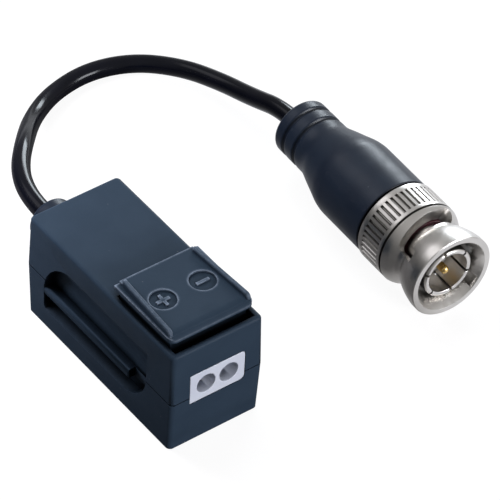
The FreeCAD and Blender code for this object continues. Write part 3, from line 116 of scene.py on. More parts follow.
# Node helpers
class Canvas:
    """Adds and links nodes in one node tree."""

    def __init__(self, tree: bpy.types.NodeTree) -> None:
        """Keep the tree that the nodes go into."""
        self.tree = tree

    def add(self, kind: str, inputs: dict | None = None, **settings: object) -> bpy.types.Node:
        """Add one node.

        Args:
            kind: The node's type name.
            inputs: Values or sockets by input name or number.
            settings: The node's own properties.

        Returns:
            The new node.
        """
        node = self.tree.nodes.new(kind)
        for name, value in settings.items():
            setattr(node, name, value)
        for key, value in (inputs or {}).items():
            self.feed(node.inputs[key], value)
        return node

    def feed(self, target: Socket, value: Socket | float | tuple) -> None:
        """Link a socket to an input, or set the input to a plain value.

        Args:
            target: The input.
            value: What it gets.
        """
        if isinstance(value, bpy.types.NodeSocket):
            self.tree.links.new(value, target)
        else:
            target.default_value = value

    def math(self, operation: str, *terms: Socket | float, clamp: bool = False) -> Socket:
        """Work out one Math node and return its result."""
        node = self.add("ShaderNodeMath", dict(enumerate(terms)), operation=operation, use_clamp=clamp)
        return node.outputs[0]

    def mix(self, share: Socket | float, first: Socket | tuple, second: Socket | tuple) -> Socket:
        """Mix two colours.

        Args:
            share: How much of the second colour there is, from 0 to 1.
            first: The first colour.
            second: The second colour.

        Returns:
            The mixed colour.
        """
        node = self.add("ShaderNodeMix", data_type="RGBA")
        self.feed(node.inputs[0], share)
        self.feed(node.inputs[6], first)
        self.feed(node.inputs[7], second)
        return node.outputs[2]

    def ramp(
        self, value: Socket, low: Socket | float, high: Socket | float, start: float = 0.0, end: float = 1.0
    ) -> Socket:
        """Carry a value from the range low to high over to start to end, held at both ends."""
        node = self.add("ShaderNodeMapRange", {0: value, 1: low, 2: high, 3: start, 4: end})
        return node.outputs[0]

    def noise(self, vector: Socket, per_mm: Socket | float, detail: float = 2.0) -> Socket:
        """Soft noise from 0 to 1.

        Args:
            vector: Where it is read.
            per_mm: How many features it has in a millimetre.
            detail: How many finer layers it has.

        Returns:
            The noise.
        """
        scale = per_mm / MM if isinstance(per_mm, float) else self.math("DIVIDE", per_mm, MM)
        inputs = {"Vector": vector, "Scale": scale, "Detail": detail}
        return self.add("ShaderNodeTexNoise", inputs).outputs[0]


def new_group(
    name: str, inputs: dict[str, object], outputs: dict[str, str]
) -> tuple[bpy.types.NodeTree, Canvas, dict[str, Socket], bpy.types.Node]:
    """Start a shader node group.

    Args:
        name: The group's name.
        inputs: Default values by input name; a colour has four numbers and None stands for a vector.
        outputs: Socket types by output name.

    Returns:
        The group, its canvas, its input sockets by name and its output node.
    """
    tree = bpy.data.node_groups.new(name, "ShaderNodeTree")
    kinds = {type(None): "NodeSocketVector", tuple: "NodeSocketColor", float: "NodeSocketFloat"}
    for key, value in inputs.items():
        socket = tree.interface.new_socket(key, in_out="INPUT", socket_type=kinds[type(value)])
        if value is not None:
            socket.default_value = value
    for key, kind in outputs.items():
        tree.interface.new_socket(key, in_out="OUTPUT", socket_type=kind)
    canvas = Canvas(tree)
    entry = canvas.add("NodeGroupInput")
    return tree, canvas, {key: entry.outputs[key] for key in inputs}, canvas.add("NodeGroupOutput")


@cache
def tone_group() -> bpy.types.NodeTree:
    """Two tones of one colour in soft patches.

    Returns:
        The group, which gives the colour.
    """
    inputs = {"Vector": None, "Light": WHITE, "Dark": (0.0,) * 4, "Per mm": 0.2}
    tree, canvas, given, out = new_group("soft_tone", inputs, {"Color": "NodeSocketColor"})
    dark_below, light_above = 0.35, 0.65
    patches = canvas.noise(given["Vector"], given["Per mm"])
    share = canvas.ramp(patches, dark_below, light_above)
    canvas.feed(out.inputs["Color"], canvas.mix(share, given["Dark"], given["Light"]))
    return tree


@cache
def gloss_group() -> bpy.types.NodeTree:
    """Roughness that wanders between two values.

    Returns:
        The group, which gives the roughness.
    """
    inputs = {"Vector": None, "Low": 0.3, "High": 0.5, "Per mm": 0.5}
    tree, canvas, given, out = new_group("gloss_patches", inputs, {"Roughness": "NodeSocketFloat"})
    detail, low_below, high_above = 4.0, 0.3, 0.7
    patches = canvas.ramp(canvas.noise(given["Vector"], given["Per mm"], detail), low_below, high_above)
    span = canvas.math("SUBTRACT", given["High"], given["Low"])
    canvas.feed(out.inputs["Roughness"], canvas.math("MULTIPLY_ADD", patches, span, given["Low"]))
    return tree


@cache
def grain_group() -> bpy.types.NodeTree:
    """The fine grain that an etched mould leaves, with a softer swell under it.

    Returns:
        The group, which gives the height of grain plus swell.
    """
    inputs = {"Vector": None, "Per mm": 6.0, "Swell": 0.3}
    tree, canvas, given, out = new_group("mould_grain", inputs, {"Height": "NodeSocketFloat"})
    grain_detail, swell_detail, swells_per_grain = 3.0, 1.0, 0.08
    fine = canvas.noise(given["Vector"], given["Per mm"], grain_detail)
    swells = canvas.math("MULTIPLY", given["Per mm"], swells_per_grain)
    slow = canvas.noise(given["Vector"], swells, swell_detail)
    height = canvas.math("MULTIPLY_ADD", slow, given["Swell"], fine)
    canvas.feed(out.inputs["Height"], height)
    return tree


@cache
def speck_group() -> bpy.types.NodeTree:
    """Scattered soft specks of dust in several sizes.

    Returns:
        The group, which gives the mask of the specks.
    """
    inputs = {"Vector": None, "Per mm": 0.7, "Size": 0.14, "Share": 0.3}
    tree, canvas, given, out = new_group("dust_specks", inputs, {"Mask": "NodeSocketFloat"})
    scale = canvas.math("DIVIDE", given["Per mm"], MM)
    cells = canvas.add("ShaderNodeTexVoronoi", {"Vector": given["Vector"], "Scale": scale})
    pick = canvas.add("ShaderNodeSeparateColor", {0: cells.outputs["Color"]})
    size = canvas.math("MULTIPLY", given["Size"], pick.outputs[1])
    inside = canvas.math("SUBTRACT", 1.0, canvas.math("DIVIDE", cells.outputs["Distance"], size), clamp=True)
    chosen = canvas.math("LESS_THAN", pick.outputs[0], given["Share"])
    canvas.feed(out.inputs["Mask"], canvas.math("MULTIPLY", inside, chosen))
    return tree


@cache
def edge_rub_highlight_group() -> bpy.types.NodeTree:
    """Outer edges, for wear and painted highlight: where a rounded normal departs from the true one.

    Returns:
        The group, which gives the mask of the edges for wear and painted highlight, broken up in patches.
    """
    inputs = {"Vector": None, "Radius mm": 0.15, "Breakup": 2.0}
    tree, canvas, given, out = new_group("edge_rub_highlight", inputs, {"Mask": "NodeSocketFloat"})
    no_edge_dot, full_edge_dot = 0.98, 0.75
    bare_below, rubbed_above = 0.35, 0.6
    radius = canvas.math("MULTIPLY", given["Radius mm"], MM)
    rounded = canvas.add("ShaderNodeBevel", {"Radius": radius}, samples=4).outputs[0]
    plain = canvas.add("ShaderNodeNewGeometry").outputs["Normal"]
    dot = canvas.add("ShaderNodeVectorMath", {0: rounded, 1: plain}, operation="DOT_PRODUCT").outputs["Value"]
    # wear and painted highlight: edges found where the normals part
    edge = canvas.ramp(dot, no_edge_dot, full_edge_dot)
    patches = canvas.ramp(canvas.noise(given["Vector"], given["Breakup"]), bare_below, rubbed_above)
    canvas.feed(out.inputs["Mask"], canvas.math("MULTIPLY", edge, patches))
    return tree


@cache
def hollow_shade_group() -> bpy.types.NodeTree:
    """Painted shade in gaps, slots and groove bottoms that see little of the sky; on metal, partly tarnish.

    The mask fades towards the foot, where the floor shades every face, and is weaker above the head.

    Returns:
        The group, which gives the mask of the painted shade in hollows.
    """
    inputs = {
        "Vector": None, "Reach mm": 2.0, "Open": 0.9, "Shut": 0.4, "Foot mm": 3.2, "Head mm": 99.0,
    }
    tree, canvas, given, out = new_group("hollow_shade", inputs, {"Mask": "NodeSocketFloat"})
    foot_power, head_fade, share_above_head = 3.0, 0.5, 0.25
    reach = canvas.math("MULTIPLY", given["Reach mm"], MM)
    # painted shade: how little of the sky a point sees within the reach
    openness = canvas.add("ShaderNodeAmbientOcclusion", {"Distance": reach}, samples=8).outputs["AO"]
    closed = canvas.ramp(openness, given["Open"], given["Shut"])
    height = canvas.add("ShaderNodeSeparateXYZ", {0: given["Vector"]}).outputs[2]
    foot = canvas.math("MULTIPLY", given["Foot mm"], MM)
    clear = canvas.math("POWER", canvas.math("DIVIDE", height, foot, clamp=True), foot_power)
    headroom = canvas.math("SUBTRACT", given["Head mm"], canvas.math("DIVIDE", height, MM))
    below_head = canvas.ramp(headroom, -head_fade, head_fade, share_above_head)
    mask = canvas.math("MULTIPLY", canvas.math("MULTIPLY", closed, clear), below_head)
    canvas.feed(out.inputs["Mask"], mask)
    return tree


@cache
def rib_highlight_group() -> bpy.types.NodeTree:
    """Painted highlight on thin ribs and outer edges above a given height.

    Returns:
        The group, which gives the mask of the painted highlight, weaker in some patches.
    """
    inputs = {"Vector": None, "Reach mm": 0.5, "From mm": 20.5}
    tree, canvas, given, out = new_group("rib_highlight_mask", inputs, {"Mask": "NodeSocketFloat"})
    thick, thin = 0.9, 0.45
    fade_in = (-0.2, 0.4)
    patches_per_mm, weak_below, full_above, weakest = 1.2, 0.25, 0.6, 0.45
    reach = canvas.math("MULTIPLY", given["Reach mm"], MM)
    depth = canvas.add("ShaderNodeAmbientOcclusion", {"Distance": reach}, samples=8, inside=True)
    ribs = canvas.ramp(depth.outputs["AO"], thick, thin)
    height = canvas.add("ShaderNodeSeparateXYZ", {0: given["Vector"]}).outputs[2]
    over = canvas.math("SUBTRACT", canvas.math("DIVIDE", height, MM), given["From mm"])
    above = canvas.ramp(over, *fade_in)
    patches = canvas.ramp(canvas.noise(given["Vector"], patches_per_mm), weak_below, full_above, weakest)
    # painted highlight: thin ribs above the height, in patches
    mask = canvas.math("MULTIPLY", canvas.math("MULTIPLY", ribs, above), patches)
    canvas.feed(out.inputs["Mask"], mask)
    return tree


@cache
def scratch_group() -> bpy.types.NodeTree:
    """Fine turning lines about the plug's axis, which is close to Y, and short rubs.

    Returns:
        The group, which gives the height of the lines and the mask of the rubs.
    """
    outputs = {"Height": "NodeSocketFloat", "Mask": "NodeSocketFloat"}
    tree, canvas, given, out = new_group("turning_lines", {"Vector": None, "Per mm": 8.0}, outputs)
    squeeze, line_detail = 0.05, 3.0
    rubs_per_mm, rub_detail, clean_below, rubbed_above = 0.9, 5.0, 0.45, 0.75
    parts = canvas.add("ShaderNodeSeparateXYZ", {0: given["Vector"]})
    squeezed = canvas.add("ShaderNodeCombineXYZ", {1: parts.outputs[1]})
    for side in (0, 2):
        canvas.feed(squeezed.inputs[side], canvas.math("MULTIPLY", parts.outputs[side], squeeze))
    lines = canvas.noise(squeezed.outputs[0], given["Per mm"], line_detail)
    spots = canvas.noise(given["Vector"], rubs_per_mm, rub_detail)
    rubs = canvas.ramp(spots, clean_below, rubbed_above)
    canvas.feed(out.inputs["Height"], lines)
    canvas.feed(out.inputs["Mask"], rubs)
    return tree


# Finishes
@dataclass(frozen=True)
class Finish:
    """What every finish has.

    Fields:
        slot: The record's slot.
        light, dark: The two tones of its colour.
        gloss: Lowest and highest roughness.
        grain: Grain per millimetre.
        depth: Depth of the grain in millimetres.
        specular: How much a face mirrors that isn't metal.
        hollow_reach: How near the faces are that make a hollow, in millimetres.
        hollow_shut: How little of the sky is left where a hollow is darkest.
        hollow_head: The height above which the painted shade in hollows is weaker, in millimetres.
        hollow_shade_share: How much of the painted shade in hollows the finish takes, or 0 for none.
        hollow_shade_tone: How much of the dark tone is left in the painted shade of the darkest hollow.
    """

    slot: Slot
    light: Colour
    dark: Colour
    gloss: tuple[float, float]
    grain: float = 5.0
    depth: float = 0.01
    specular: float = 0.5
    hollow_reach: float = 2.5
    hollow_shut: float = 0.4
    hollow_head: float = 99.0
    hollow_shade_share: float = 0.0
    hollow_shade_tone: float = 0.12

    def material(self) -> bpy.types.Material:
        """Build the finish as a material.

        Returns:
            The new material.
        """
        material = bpy.data.materials.new(self.slot.value)
        material.use_nodes = True
        canvas = Canvas(material.node_tree)
        shader = material.node_tree.nodes["Principled BSDF"]
        vector = canvas.add("ShaderNodeTexCoord").outputs["Object"]
        shader.inputs["Specular IOR Level"].default_value = self.specular
        self.dress(canvas, shader, vector)
        return material

    def place(
        self, canvas: Canvas, group: bpy.types.NodeTree, vector: Socket, **values: object
    ) -> bpy.types.Node:
        """Put a shared group into the material with this finish's own values.

        Args:
            canvas: The material's nodes.
            group: The shared group.
            vector: Where its patterns are read.
            values: Its inputs, with an underscore for a space in the name.

        Returns:
            The group's node.
        """
        node = canvas.add("ShaderNodeGroup", node_tree=group)
        canvas.feed(node.inputs["Vector"], vector)
        for key, value in values.items():
            canvas.feed(node.inputs[key.replace("_", " ")], value)
        return node

    def colour(self, canvas: Canvas, vector: Socket) -> Socket:
        """The two tones in patches."""
        tones = {"Light": (*self.light, 1.0), "Dark": (*self.dark, 1.0)}
        return self.place(canvas, tone_group(), vector, **tones).outputs[0]

    def shaded(self, canvas: Canvas, colour: Socket, vector: Socket) -> Socket:
        """Darken a colour in hollows with painted shade.

        Args:
            canvas: The material's nodes.
            colour: The colour in the open.
            vector: Where the patterns are read.

        Returns:
            The colour, with painted shade in hollows.
        """
        if not self.hollow_shade_share:
            return colour
        values = {"Reach_mm": self.hollow_reach, "Shut": self.hollow_shut, "Head_mm": self.hollow_head}
        mask = self.place(canvas, hollow_shade_group(), vector, **values).outputs[0]
        # painted shade: a darker copy of the dark tone, mixed in by the hollow mask
        shade_tone = tuple(tone * self.hollow_shade_tone for tone in self.dark)
        return canvas.mix(canvas.math("MULTIPLY", mask, self.hollow_shade_share), colour, (*shade_tone, 1.0))

    def dress(self, canvas: Canvas, shader: bpy.types.Node, vector: Socket) -> None:
        """Feed colour, roughness and bump to the shader.

        Args:
            canvas: The material's nodes.
            shader: The material's shader.
            vector: Where the patterns are read.
        """
        canvas.feed(shader.inputs["Base Color"], self.shaded(canvas, self.colour(canvas, vector), vector))
        gloss = self.place(canvas, gloss_group(), vector, Low=self.gloss[0], High=self.gloss[1])
        canvas.feed(shader.inputs["Roughness"], gloss.outputs[0])
        grain = self.place(canvas, grain_group(), vector, Per_mm=self.grain)
        bump = canvas.add("ShaderNodeBump", {"Height": grain.outputs[0], "Distance": self.depth * MM})
        canvas.feed(shader.inputs["Normal"], bump.outputs[0])


@dataclass(frozen=True)
class Moulded(Finish):
    """Moulded plastic or rubber: lighter edges (wear and painted highlight), lighter ribs (painted highlight),
    dust.

    Fields:
        rub, rub_highlight_share: The tone of edges, part wear and part painted highlight, and how much of it
            shows.
        dust, dust_share: The tone of dust specks, and how many of them there are.
        worn, rib_highlight_share: The tone of the painted highlight on ribs, and how much of it shows.
        coat, coat_roughness: The weight and roughness of a clear skin.
    """

    rub_highlight: Colour = (0.1, 0.11, 0.13)
    rub_highlight_share: float = 0.5
    dust: Colour = (0.2, 0.21, 0.23)
    dust_share: float = 0.25
    rib_highlight: Colour = (0.27, 0.33, 0.42)
    rib_highlight_share: float = 0.0
    coat: float = 0.0
    coat_roughness: float = 0.3

    def colour(self, canvas: Canvas, vector: Socket) -> Socket:
        """The tones with painted highlight on edges and ribs, wear on edges, and dust.

        Args:
            canvas: The material's nodes.
            vector: Where the patterns are read.

        Returns:
            The colour.
        """
        plain = super().colour(canvas, vector)
        # outer edges lighter, partly wear and partly painted highlight
        edge = self.place(canvas, edge_rub_highlight_group(), vector).outputs[0]
        rubbed = canvas.mix(canvas.math("MULTIPLY", edge, self.rub_highlight_share), plain, (*self.rub_highlight, 1.0))
        if self.rib_highlight_share:
            # painted highlight on ribs
            rib_highlight = self.place(canvas, rib_highlight_group(), vector).outputs[0]
            rubbed = canvas.mix(canvas.math("MULTIPLY", rib_highlight, self.rib_highlight_share), rubbed, (*self.rib_highlight, 1.0))
        dust = self.place(canvas, speck_group(), vector, Share=self.dust_share).outputs[0]
        return canvas.mix(dust, rubbed, (*self.dust, 1.0))

    def dress(self, canvas: Canvas, shader: bpy.types.Node, vector: Socket) -> None:
        """Add the skin's own gloss to the plain finish.

        Args:
            canvas: The material's nodes.
            shader: The material's shader.
            vector: Where the patterns are read.
        """
        super().dress(canvas, shader, vector)
        shader.inputs["Coat Weight"].default_value = self.coat
        shader.inputs["Coat Roughness"].default_value = self.coat_roughness


@dataclass(frozen=True)
class Metal(Finish):
    """Turned, drawn or plated metal with fine marks.

    Fields:
        marks: How much rougher it is where it is rubbed.
    """

    marks: float = 0.12

    def dress(self, canvas: Canvas, shader: bpy.types.Node, vector: Socket) -> None:
        """Feed colour, roughness with rubs, and turning lines to the shader.

        Args:
            canvas: The material's nodes.
            shader: The material's shader.
            vector: Where the patterns are read.
        """
        shader.inputs["Metallic"].default_value = 1.0
        canvas.feed(shader.inputs["Base Color"], self.shaded(canvas, self.colour(canvas, vector), vector))
        lines = self.place(canvas, scratch_group(), vector, Per_mm=self.grain)
        gloss = self.place(canvas, gloss_group(), vector, Low=self.gloss[0], High=self.gloss[1]).outputs[0]
        rough = canvas.math("MULTIPLY_ADD", lines.outputs["Mask"], self.marks, gloss)
        canvas.feed(shader.inputs["Roughness"], rough)
        bump = canvas.add("ShaderNodeBump", {"Height": lines.outputs["Height"], "Distance": self.depth * MM})
        canvas.feed(shader.inputs["Normal"], bump.outputs[0])


PLAIN = {"rub_highlight_share": 0.0, "dust_share": 0.0}
FINISHES = (
    Moulded(
        Slot.HOUSING, (0.031, 0.0505, 0.077), (0.028, 0.046, 0.071), (0.42, 0.5),
        grain=7.0, depth=0.012, specular=0.06,
        # the edge tone is partly wear and partly painted highlight; the ribs get painted highlight
        rub_highlight=(0.09, 0.11, 0.14), rub_highlight_share=0.2, dust=(0.1, 0.115, 0.14), dust_share=0.3, rib_highlight_share=0.9,
        # painted shade in the recesses and under the lever's front
        hollow_reach=4.0, hollow_shut=0.55, hollow_head=19.3, hollow_shade_share=1.0,
    ),
    Moulded(
        Slot.TERMINAL, (0.72, 0.77, 0.86), (0.66, 0.71, 0.81), (0.35, 0.45), grain=4.0, depth=0.006,
        rub_highlight=(0.75, 0.78, 0.84), dust=(0.5, 0.52, 0.56), dust_share=0.05,
        hollow_reach=2.0, hollow_shade_share=0.8,
    ),
    Moulded(
        Slot.BOOT, (0.0095, 0.0165, 0.03), (0.0075, 0.013, 0.025), (0.34, 0.42), depth=0.008, specular=0.33,
        rub_highlight=(0.05, 0.06, 0.08), rub_highlight_share=0.2, dust=(0.06, 0.07, 0.09), dust_share=0.2,
        hollow_reach=1.0, hollow_shade_share=0.9,
    ),
    Moulded(
        Slot.CABLE, (0.003, 0.0035, 0.007), (0.002, 0.0025, 0.005), (0.17, 0.2),
        grain=3.0, depth=0.001, specular=0.2, **PLAIN,
    ),
    Metal(
        Slot.NICKEL, (0.7, 0.67, 0.635), (0.64, 0.615, 0.585), (0.28, 0.36), grain=9.0, depth=0.0003,
        # painted shade in the knurl, slots and grooves, partly tarnish
        hollow_reach=1.5, hollow_shade_share=0.75, marks=0.04,
    ),
    Metal(Slot.GILT, (0.85, 0.62, 0.24), (0.75, 0.52, 0.2), (0.18, 0.28), grain=9.0, depth=0.001),
    Metal(Slot.SPRING, (0.6, 0.6, 0.6), (0.5, 0.5, 0.5), (0.25, 0.35)),
    Metal(Slot.CONTACT, (0.75, 0.7, 0.58), (0.65, 0.6, 0.5), (0.25, 0.35)),
    Moulded(Slot.BOARD, (0.03, 0.18, 0.09), (0.02, 0.13, 0.06), (0.2, 0.3), grain=2.0, coat=0.4),
    Moulded(Slot.FERRITE, (0.06, 0.06, 0.065), (0.035, 0.035, 0.04), (0.5, 0.65), grain=4.0, depth=0.02),
    Metal(Slot.WINDING, (0.6, 0.22, 0.08), (0.45, 0.14, 0.05), (0.2, 0.3)),
    Moulded(Slot.BLACK_PART, (0.03, 0.03, 0.03), (0.02, 0.02, 0.02), (0.4, 0.5)),
    Moulded(Slot.BLUE_PART, (0.08, 0.25, 0.5), (0.05, 0.2, 0.42), (0.2, 0.3), coat=0.5),
    Moulded(Slot.GASKET, (0.12, 0.008, 0.025), (0.08, 0.005, 0.016), (0.35, 0.5), grain=4.0, **PLAIN),
    Moulded(
        Slot.INSULATOR, (0.3, 0.29, 0.26), (0.25, 0.24, 0.22), (0.35, 0.45), grain=4.0, depth=0.006, **PLAIN
    ),
    Moulded(Slot.DIELECTRIC, (0.8, 0.8, 0.78), (0.74, 0.74, 0.72), (0.35, 0.45), **PLAIN),
)


@dataclass
class Wardrobe:
    """Every finish as a material, and who wears it.

    Fields:
        materials: The materials by the name of their slot.
    """

    materials: dict[str, bpy.types.Material] = field(default_factory=dict)

    def make(self) -> None:
        """Build all the materials."""
        for finish in FINISHES:
            self.materials[finish.slot.value] = finish.material()
        LOG.info("%d finishes", len(self.materials))

    def wear(self, piece: bpy.types.Object, slot: Slot) -> None:
        """Give a piece its finish.

        Args:
            piece: The piece.
            slot: The finish.
        """
        piece.data.materials.clear()
        piece.data.materials.append(self.materials[slot.value])

    def dress_cad_nodes(self) -> None:
        """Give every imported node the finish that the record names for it."""
        slots = {row["node"]: Slot(row["material_slot"]) for row in frame["record"]["subparts"]}
        for name, node in frame["nodes"].items():
            self.wear(node, slots[name])


# Camera and stage
@dataclass
class CameraRig:
    """The camera, fitted to the photograph.

    Fields:
        place: Where it stands, in millimetres.
        heading, dip, roll: Where it looks, in degrees.
        focal: Focal length as a number of picture widths.
        sensor: The width of the picture in the camera, in millimetres.
        clip: Between which distances it sees, in metres.
    """

    place: tuple[float, float, float] = (-271.132, -361.154, 448.81)
    heading: float = 38.831
    dip: float = 43.323
    roll: float = 3.282
    focal: float = 8.50196
    sensor: float = 36.0
    clip: tuple[float, float] = (0.01, 10.0)

    def axes(self) -> tuple[Vector, Vector, Vector]:
        """Work out where the picture's directions point.

        Returns:
            The picture's right, up and depth.
        """
        a, e, turn = (math.radians(v) for v in (self.heading, self.dip, self.roll))
        ahead = Vector((math.sin(a) * math.cos(e), math.cos(a) * math.cos(e), -math.sin(e)))
        right = ahead.cross(Vector((0, 0, 1))).normalized()
        up = right.cross(ahead)
        cos, sin = math.cos(turn), math.sin(turn)
        return right * cos + up * sin, up * cos - right * sin, ahead

    def build(self) -> None:
        """Make the scene's camera."""
        data = bpy.data.cameras.new("camera")
        data.sensor_width = self.sensor
        data.lens = self.focal * self.sensor
        data.clip_start, data.clip_end = self.clip
        camera = add_object("camera", data)
        right, up, ahead = self.axes()
        turn = Matrix((right, up, -ahead)).transposed().to_4x4()
        camera.matrix_world = Matrix.Translation(Vector(self.place) * MM) @ turn
        bpy.context.scene.camera = camera
        LOG.info("camera, lens %.1f mm", data.lens)


@dataclass
class Lamp:
    """One soft area lamp.

    Fields:
        name: Its name.
        place, target: Where it stands and what it faces, in metres.
        size: Its width and height in metres.
        power: Its power in watts.
        colour: Its colour.
        mirrored: Whether it shows in reflections.
        lights: Whether it lights matt surfaces.
    """

    name: str
    place: tuple[float, float, float]
    target: tuple[float, float, float]
    size: tuple[float, float]
    power: float
    colour: Colour = (1.0, 1.0, 1.0)
    mirrored: bool = True
    lights: bool = True

    def build(self) -> None:
        """Make the lamp."""
        data = bpy.data.lights.new(self.name, "AREA")
        data.shape = "RECTANGLE"
        data.size, data.size_y = self.size
        data.energy = self.power
        data.color = self.colour
        lamp = add_object(self.name, data)
        lamp.visible_camera = False
        lamp.visible_glossy = self.mirrored
        lamp.visible_diffuse = self.lights
        ahead = Vector(self.target) - Vector(self.place)
        turn = ahead.to_track_quat("-Z", "Y").to_matrix().to_4x4()
        lamp.matrix_world = Matrix.Translation(self.place) @ turn


def ray_masks(canvas: Canvas) -> tuple[Socket, Socket]:
    """Tell apart what the camera sees, also through clear pieces, and what shows in reflections.

    Args:
        canvas: The nodes of a material or of the world.

    Returns:
        The masks of seen rays and of mirrored rays.
    """
    path = canvas.add("ShaderNodeLightPath").outputs
    seen = canvas.math("MAXIMUM", path["Is Camera Ray"], path["Is Transmission Ray"])
    return seen, path["Is Glossy Ray"]


@dataclass
class Stage:
    """A white floor, a white surround and soft lamps.

    Fields:
        floor_side: The floor's width in metres.
        floor_gap: How far it lies under the part, in millimetres.
        floor_grey: How much of the light the floor gives back.
        floor_lift: What is added where the floor is seen, so that it shows white outside the shadow.
        floor_mirrored: How bright the floor is in a reflection, on the plug's side.
        floor_bright_from: From where to where the floor grows bright in reflections, in metres along X.
        floor_tint: Its colour in a reflection.
        fill: How bright the surround is for matt surfaces.
        mirrored: How bright the surround is in a reflection.
        dim_side: The share of both that is left on the dim side.
        bright_way: Where the surround is brightest.
        bright_reach: How far from the middle, as a cosine, it changes from dim to bright.
        middle: What the lamps face, in metres.
    """

    floor_side: float = 6.0
    floor_gap: float = 0.02
    floor_grey: float = 0.15
    floor_lift: float = 0.91
    floor_mirrored: float = 0.75
    floor_bright_from: tuple[float, float] = (0.034, 0.044)
    floor_tint: Colour = (0.9, 0.93, 1.0)
    fill: float = 0.12
    mirrored: float = 0.45
    dim_side: float = 0.04
    bright_way: Point = (0.5, -0.25, 0.83)
    bright_reach: float = 0.55
    middle: Point = (0.022, 0.02, 0.01)

    def lamps(self) -> list[Lamp]:
        """Set out the lamps.

        Three light matt faces only: a broad one above and behind, one in front, and a small one close to
        the rear of the left side. Two show in reflections only: one in front on the right and a weak one
        behind on the left. A low one behind on the right does both.

        Returns:
            The lamps.
        """
        near_left = (0.0, 0.02, 0.014)
        return [
            Lamp(
                "rear_lamp", (0.14, 0.62, 0.75), self.middle, (0.8, 0.8), 5.5, (0.92, 0.95, 0.98),
                mirrored=False,
            ),
            Lamp(
                "front_lamp", (0.08, -0.95, 0.35), self.middle, (0.35, 0.35), 8.2, (0.97, 0.95, 1.0),
                mirrored=False,
            ),
            Lamp(
                "streak_lamp", (0.46, -0.84, 0.4), self.middle, (0.4, 0.4), 9.2, (0.92, 0.95, 1.0),
                lights=False,
            ),
            Lamp(
                "sheen_lamp", (-0.25, 0.57, 0.72), self.middle, (0.5, 0.5), 1.0, (0.95, 0.95, 1.0),
                lights=False,
            ),
            Lamp("rim_lamp", (0.8, 0.6, 0.35), self.middle, (0.4, 0.3), 4.6, (0.85, 0.93, 1.0)),
            Lamp(
                "left_lamp", (-0.03, 0.062, 0.04), near_left, (0.03, 0.03), 0.055, (0.95, 0.92, 1.0),
                mirrored=False,
            ),
        ]

    def floor_material(self) -> bpy.types.Material:
        """Make the floor white where nothing shades it, and grey in the shadow.

        Returns:
            The new material.
        """
        material = bpy.data.materials.new("floor")
        material.use_nodes = True
        canvas = Canvas(material.node_tree)
        material.node_tree.nodes.remove(material.node_tree.nodes["Principled BSDF"])
        diffuse = canvas.add("ShaderNodeBsdfDiffuse", {"Color": (*(self.floor_grey,) * 3, 1.0)})
        seen, glossy = ray_masks(canvas)
        place = canvas.add("ShaderNodeTexCoord").outputs["Object"]
        along = canvas.add("ShaderNodeSeparateXYZ", {0: place}).outputs[0]
        under_plug = canvas.ramp(along, *self.floor_bright_from, 0.0, self.floor_mirrored)
        mirrored = canvas.math("MULTIPLY", glossy, under_plug)
        glow = canvas.add(
            "ShaderNodeEmission",
            {
                "Color": canvas.mix(mirrored, WHITE, (*self.floor_tint, 1.0)),
                "Strength": canvas.math("MULTIPLY_ADD", seen, self.floor_lift, mirrored),
            },
        )
        both = canvas.add("ShaderNodeAddShader", {0: diffuse.outputs[0], 1: glow.outputs[0]})
        canvas.feed(material.node_tree.nodes["Material Output"].inputs[0], both.outputs[0])
        return material

    def floor(self) -> None:
        """Lay a plane just under the part."""
        half, under = self.floor_side / 2, -self.floor_gap * MM
        corners = [(-half, -half, under), (half, -half, under), (half, half, under), (-half, half, under)]
        mesh = bpy.data.meshes.new("floor")
        mesh.from_pydata(corners, [], [(0, 1, 2, 3)])
        mesh.materials.append(self.floor_material())
        floor = add_object("floor", mesh)

    def world(self) -> None:
        """Make the surround.

        It is white where it is seen. For mirrored and for all other rays it is dimmer, and it falls off from
        its bright side to its dim side.
        """
        world = bpy.data.worlds.new("surround")
        world.use_nodes = True
        canvas = Canvas(world.node_tree)
        seen, glossy = ray_masks(canvas)
        back_to_eye = canvas.add("ShaderNodeNewGeometry").outputs["Incoming"]
        facing = canvas.add(
            "ShaderNodeVectorMath", {0: back_to_eye, 1: self.bright_way}, operation="DOT_PRODUCT"
        ).outputs["Value"]
        side = canvas.ramp(facing, self.bright_reach, -self.bright_reach, self.dim_side, 1.0)
        fill = canvas.math("MULTIPLY_ADD", glossy, self.mirrored - self.fill, self.fill)
        strength = canvas.math("MAXIMUM", canvas.math("MULTIPLY", fill, side), seen)
        back = world.node_tree.nodes["Background"]
        canvas.feed(back.inputs["Color"], WHITE)
        canvas.feed(back.inputs["Strength"], strength)
        bpy.context.scene.world = world

    def build(self) -> None:
        """Set the stage and the way colours are shown."""
        bpy.context.scene.view_settings.view_transform = "Standard"
        self.floor()
        self.world()
        lamps = self.lamps()
        for lamp in lamps:
            lamp.build()
        LOG.info("stage with %d lamps", len(lamps))


# The plug's own frame
NUT_JOINT = 10.0  # where the nut's joint lies behind the plug's front, in millimetres


@dataclass(frozen=True)
class PlugFrame:
    """The plug's axis.

    Fields:
        front: The middle of its front, in metres.
        along: The way to its rear.
    """

    front: Vector
    along: Vector

    @staticmethod
    def read() -> "PlugFrame":
        """Work the axis out from the joint that the nut turns on.

        Returns:
            The plug's frame.
        """
        joint = next(j for j in frame["joints"] if j["name"] == "nut_turn")
        along = Vector(joint["axis"]).normalized()
        return PlugFrame(Vector(joint["pos_m"]) - along * (NUT_JOINT * MM), along)

    def place(self, points: np.ndarray) -> np.ndarray:
        """Carry points about the Y axis, with the front at zero, to the plug.

        Args:
            points: An array of points in metres.

        Returns:
            The points in the part's frame.
        """
        along = np.array(self.along)
        up = np.array((0.0, 0.0, 1.0))
        across = np.cross(along, up)
        return points @ np.stack((across, along, up)) + np.array(self.front)


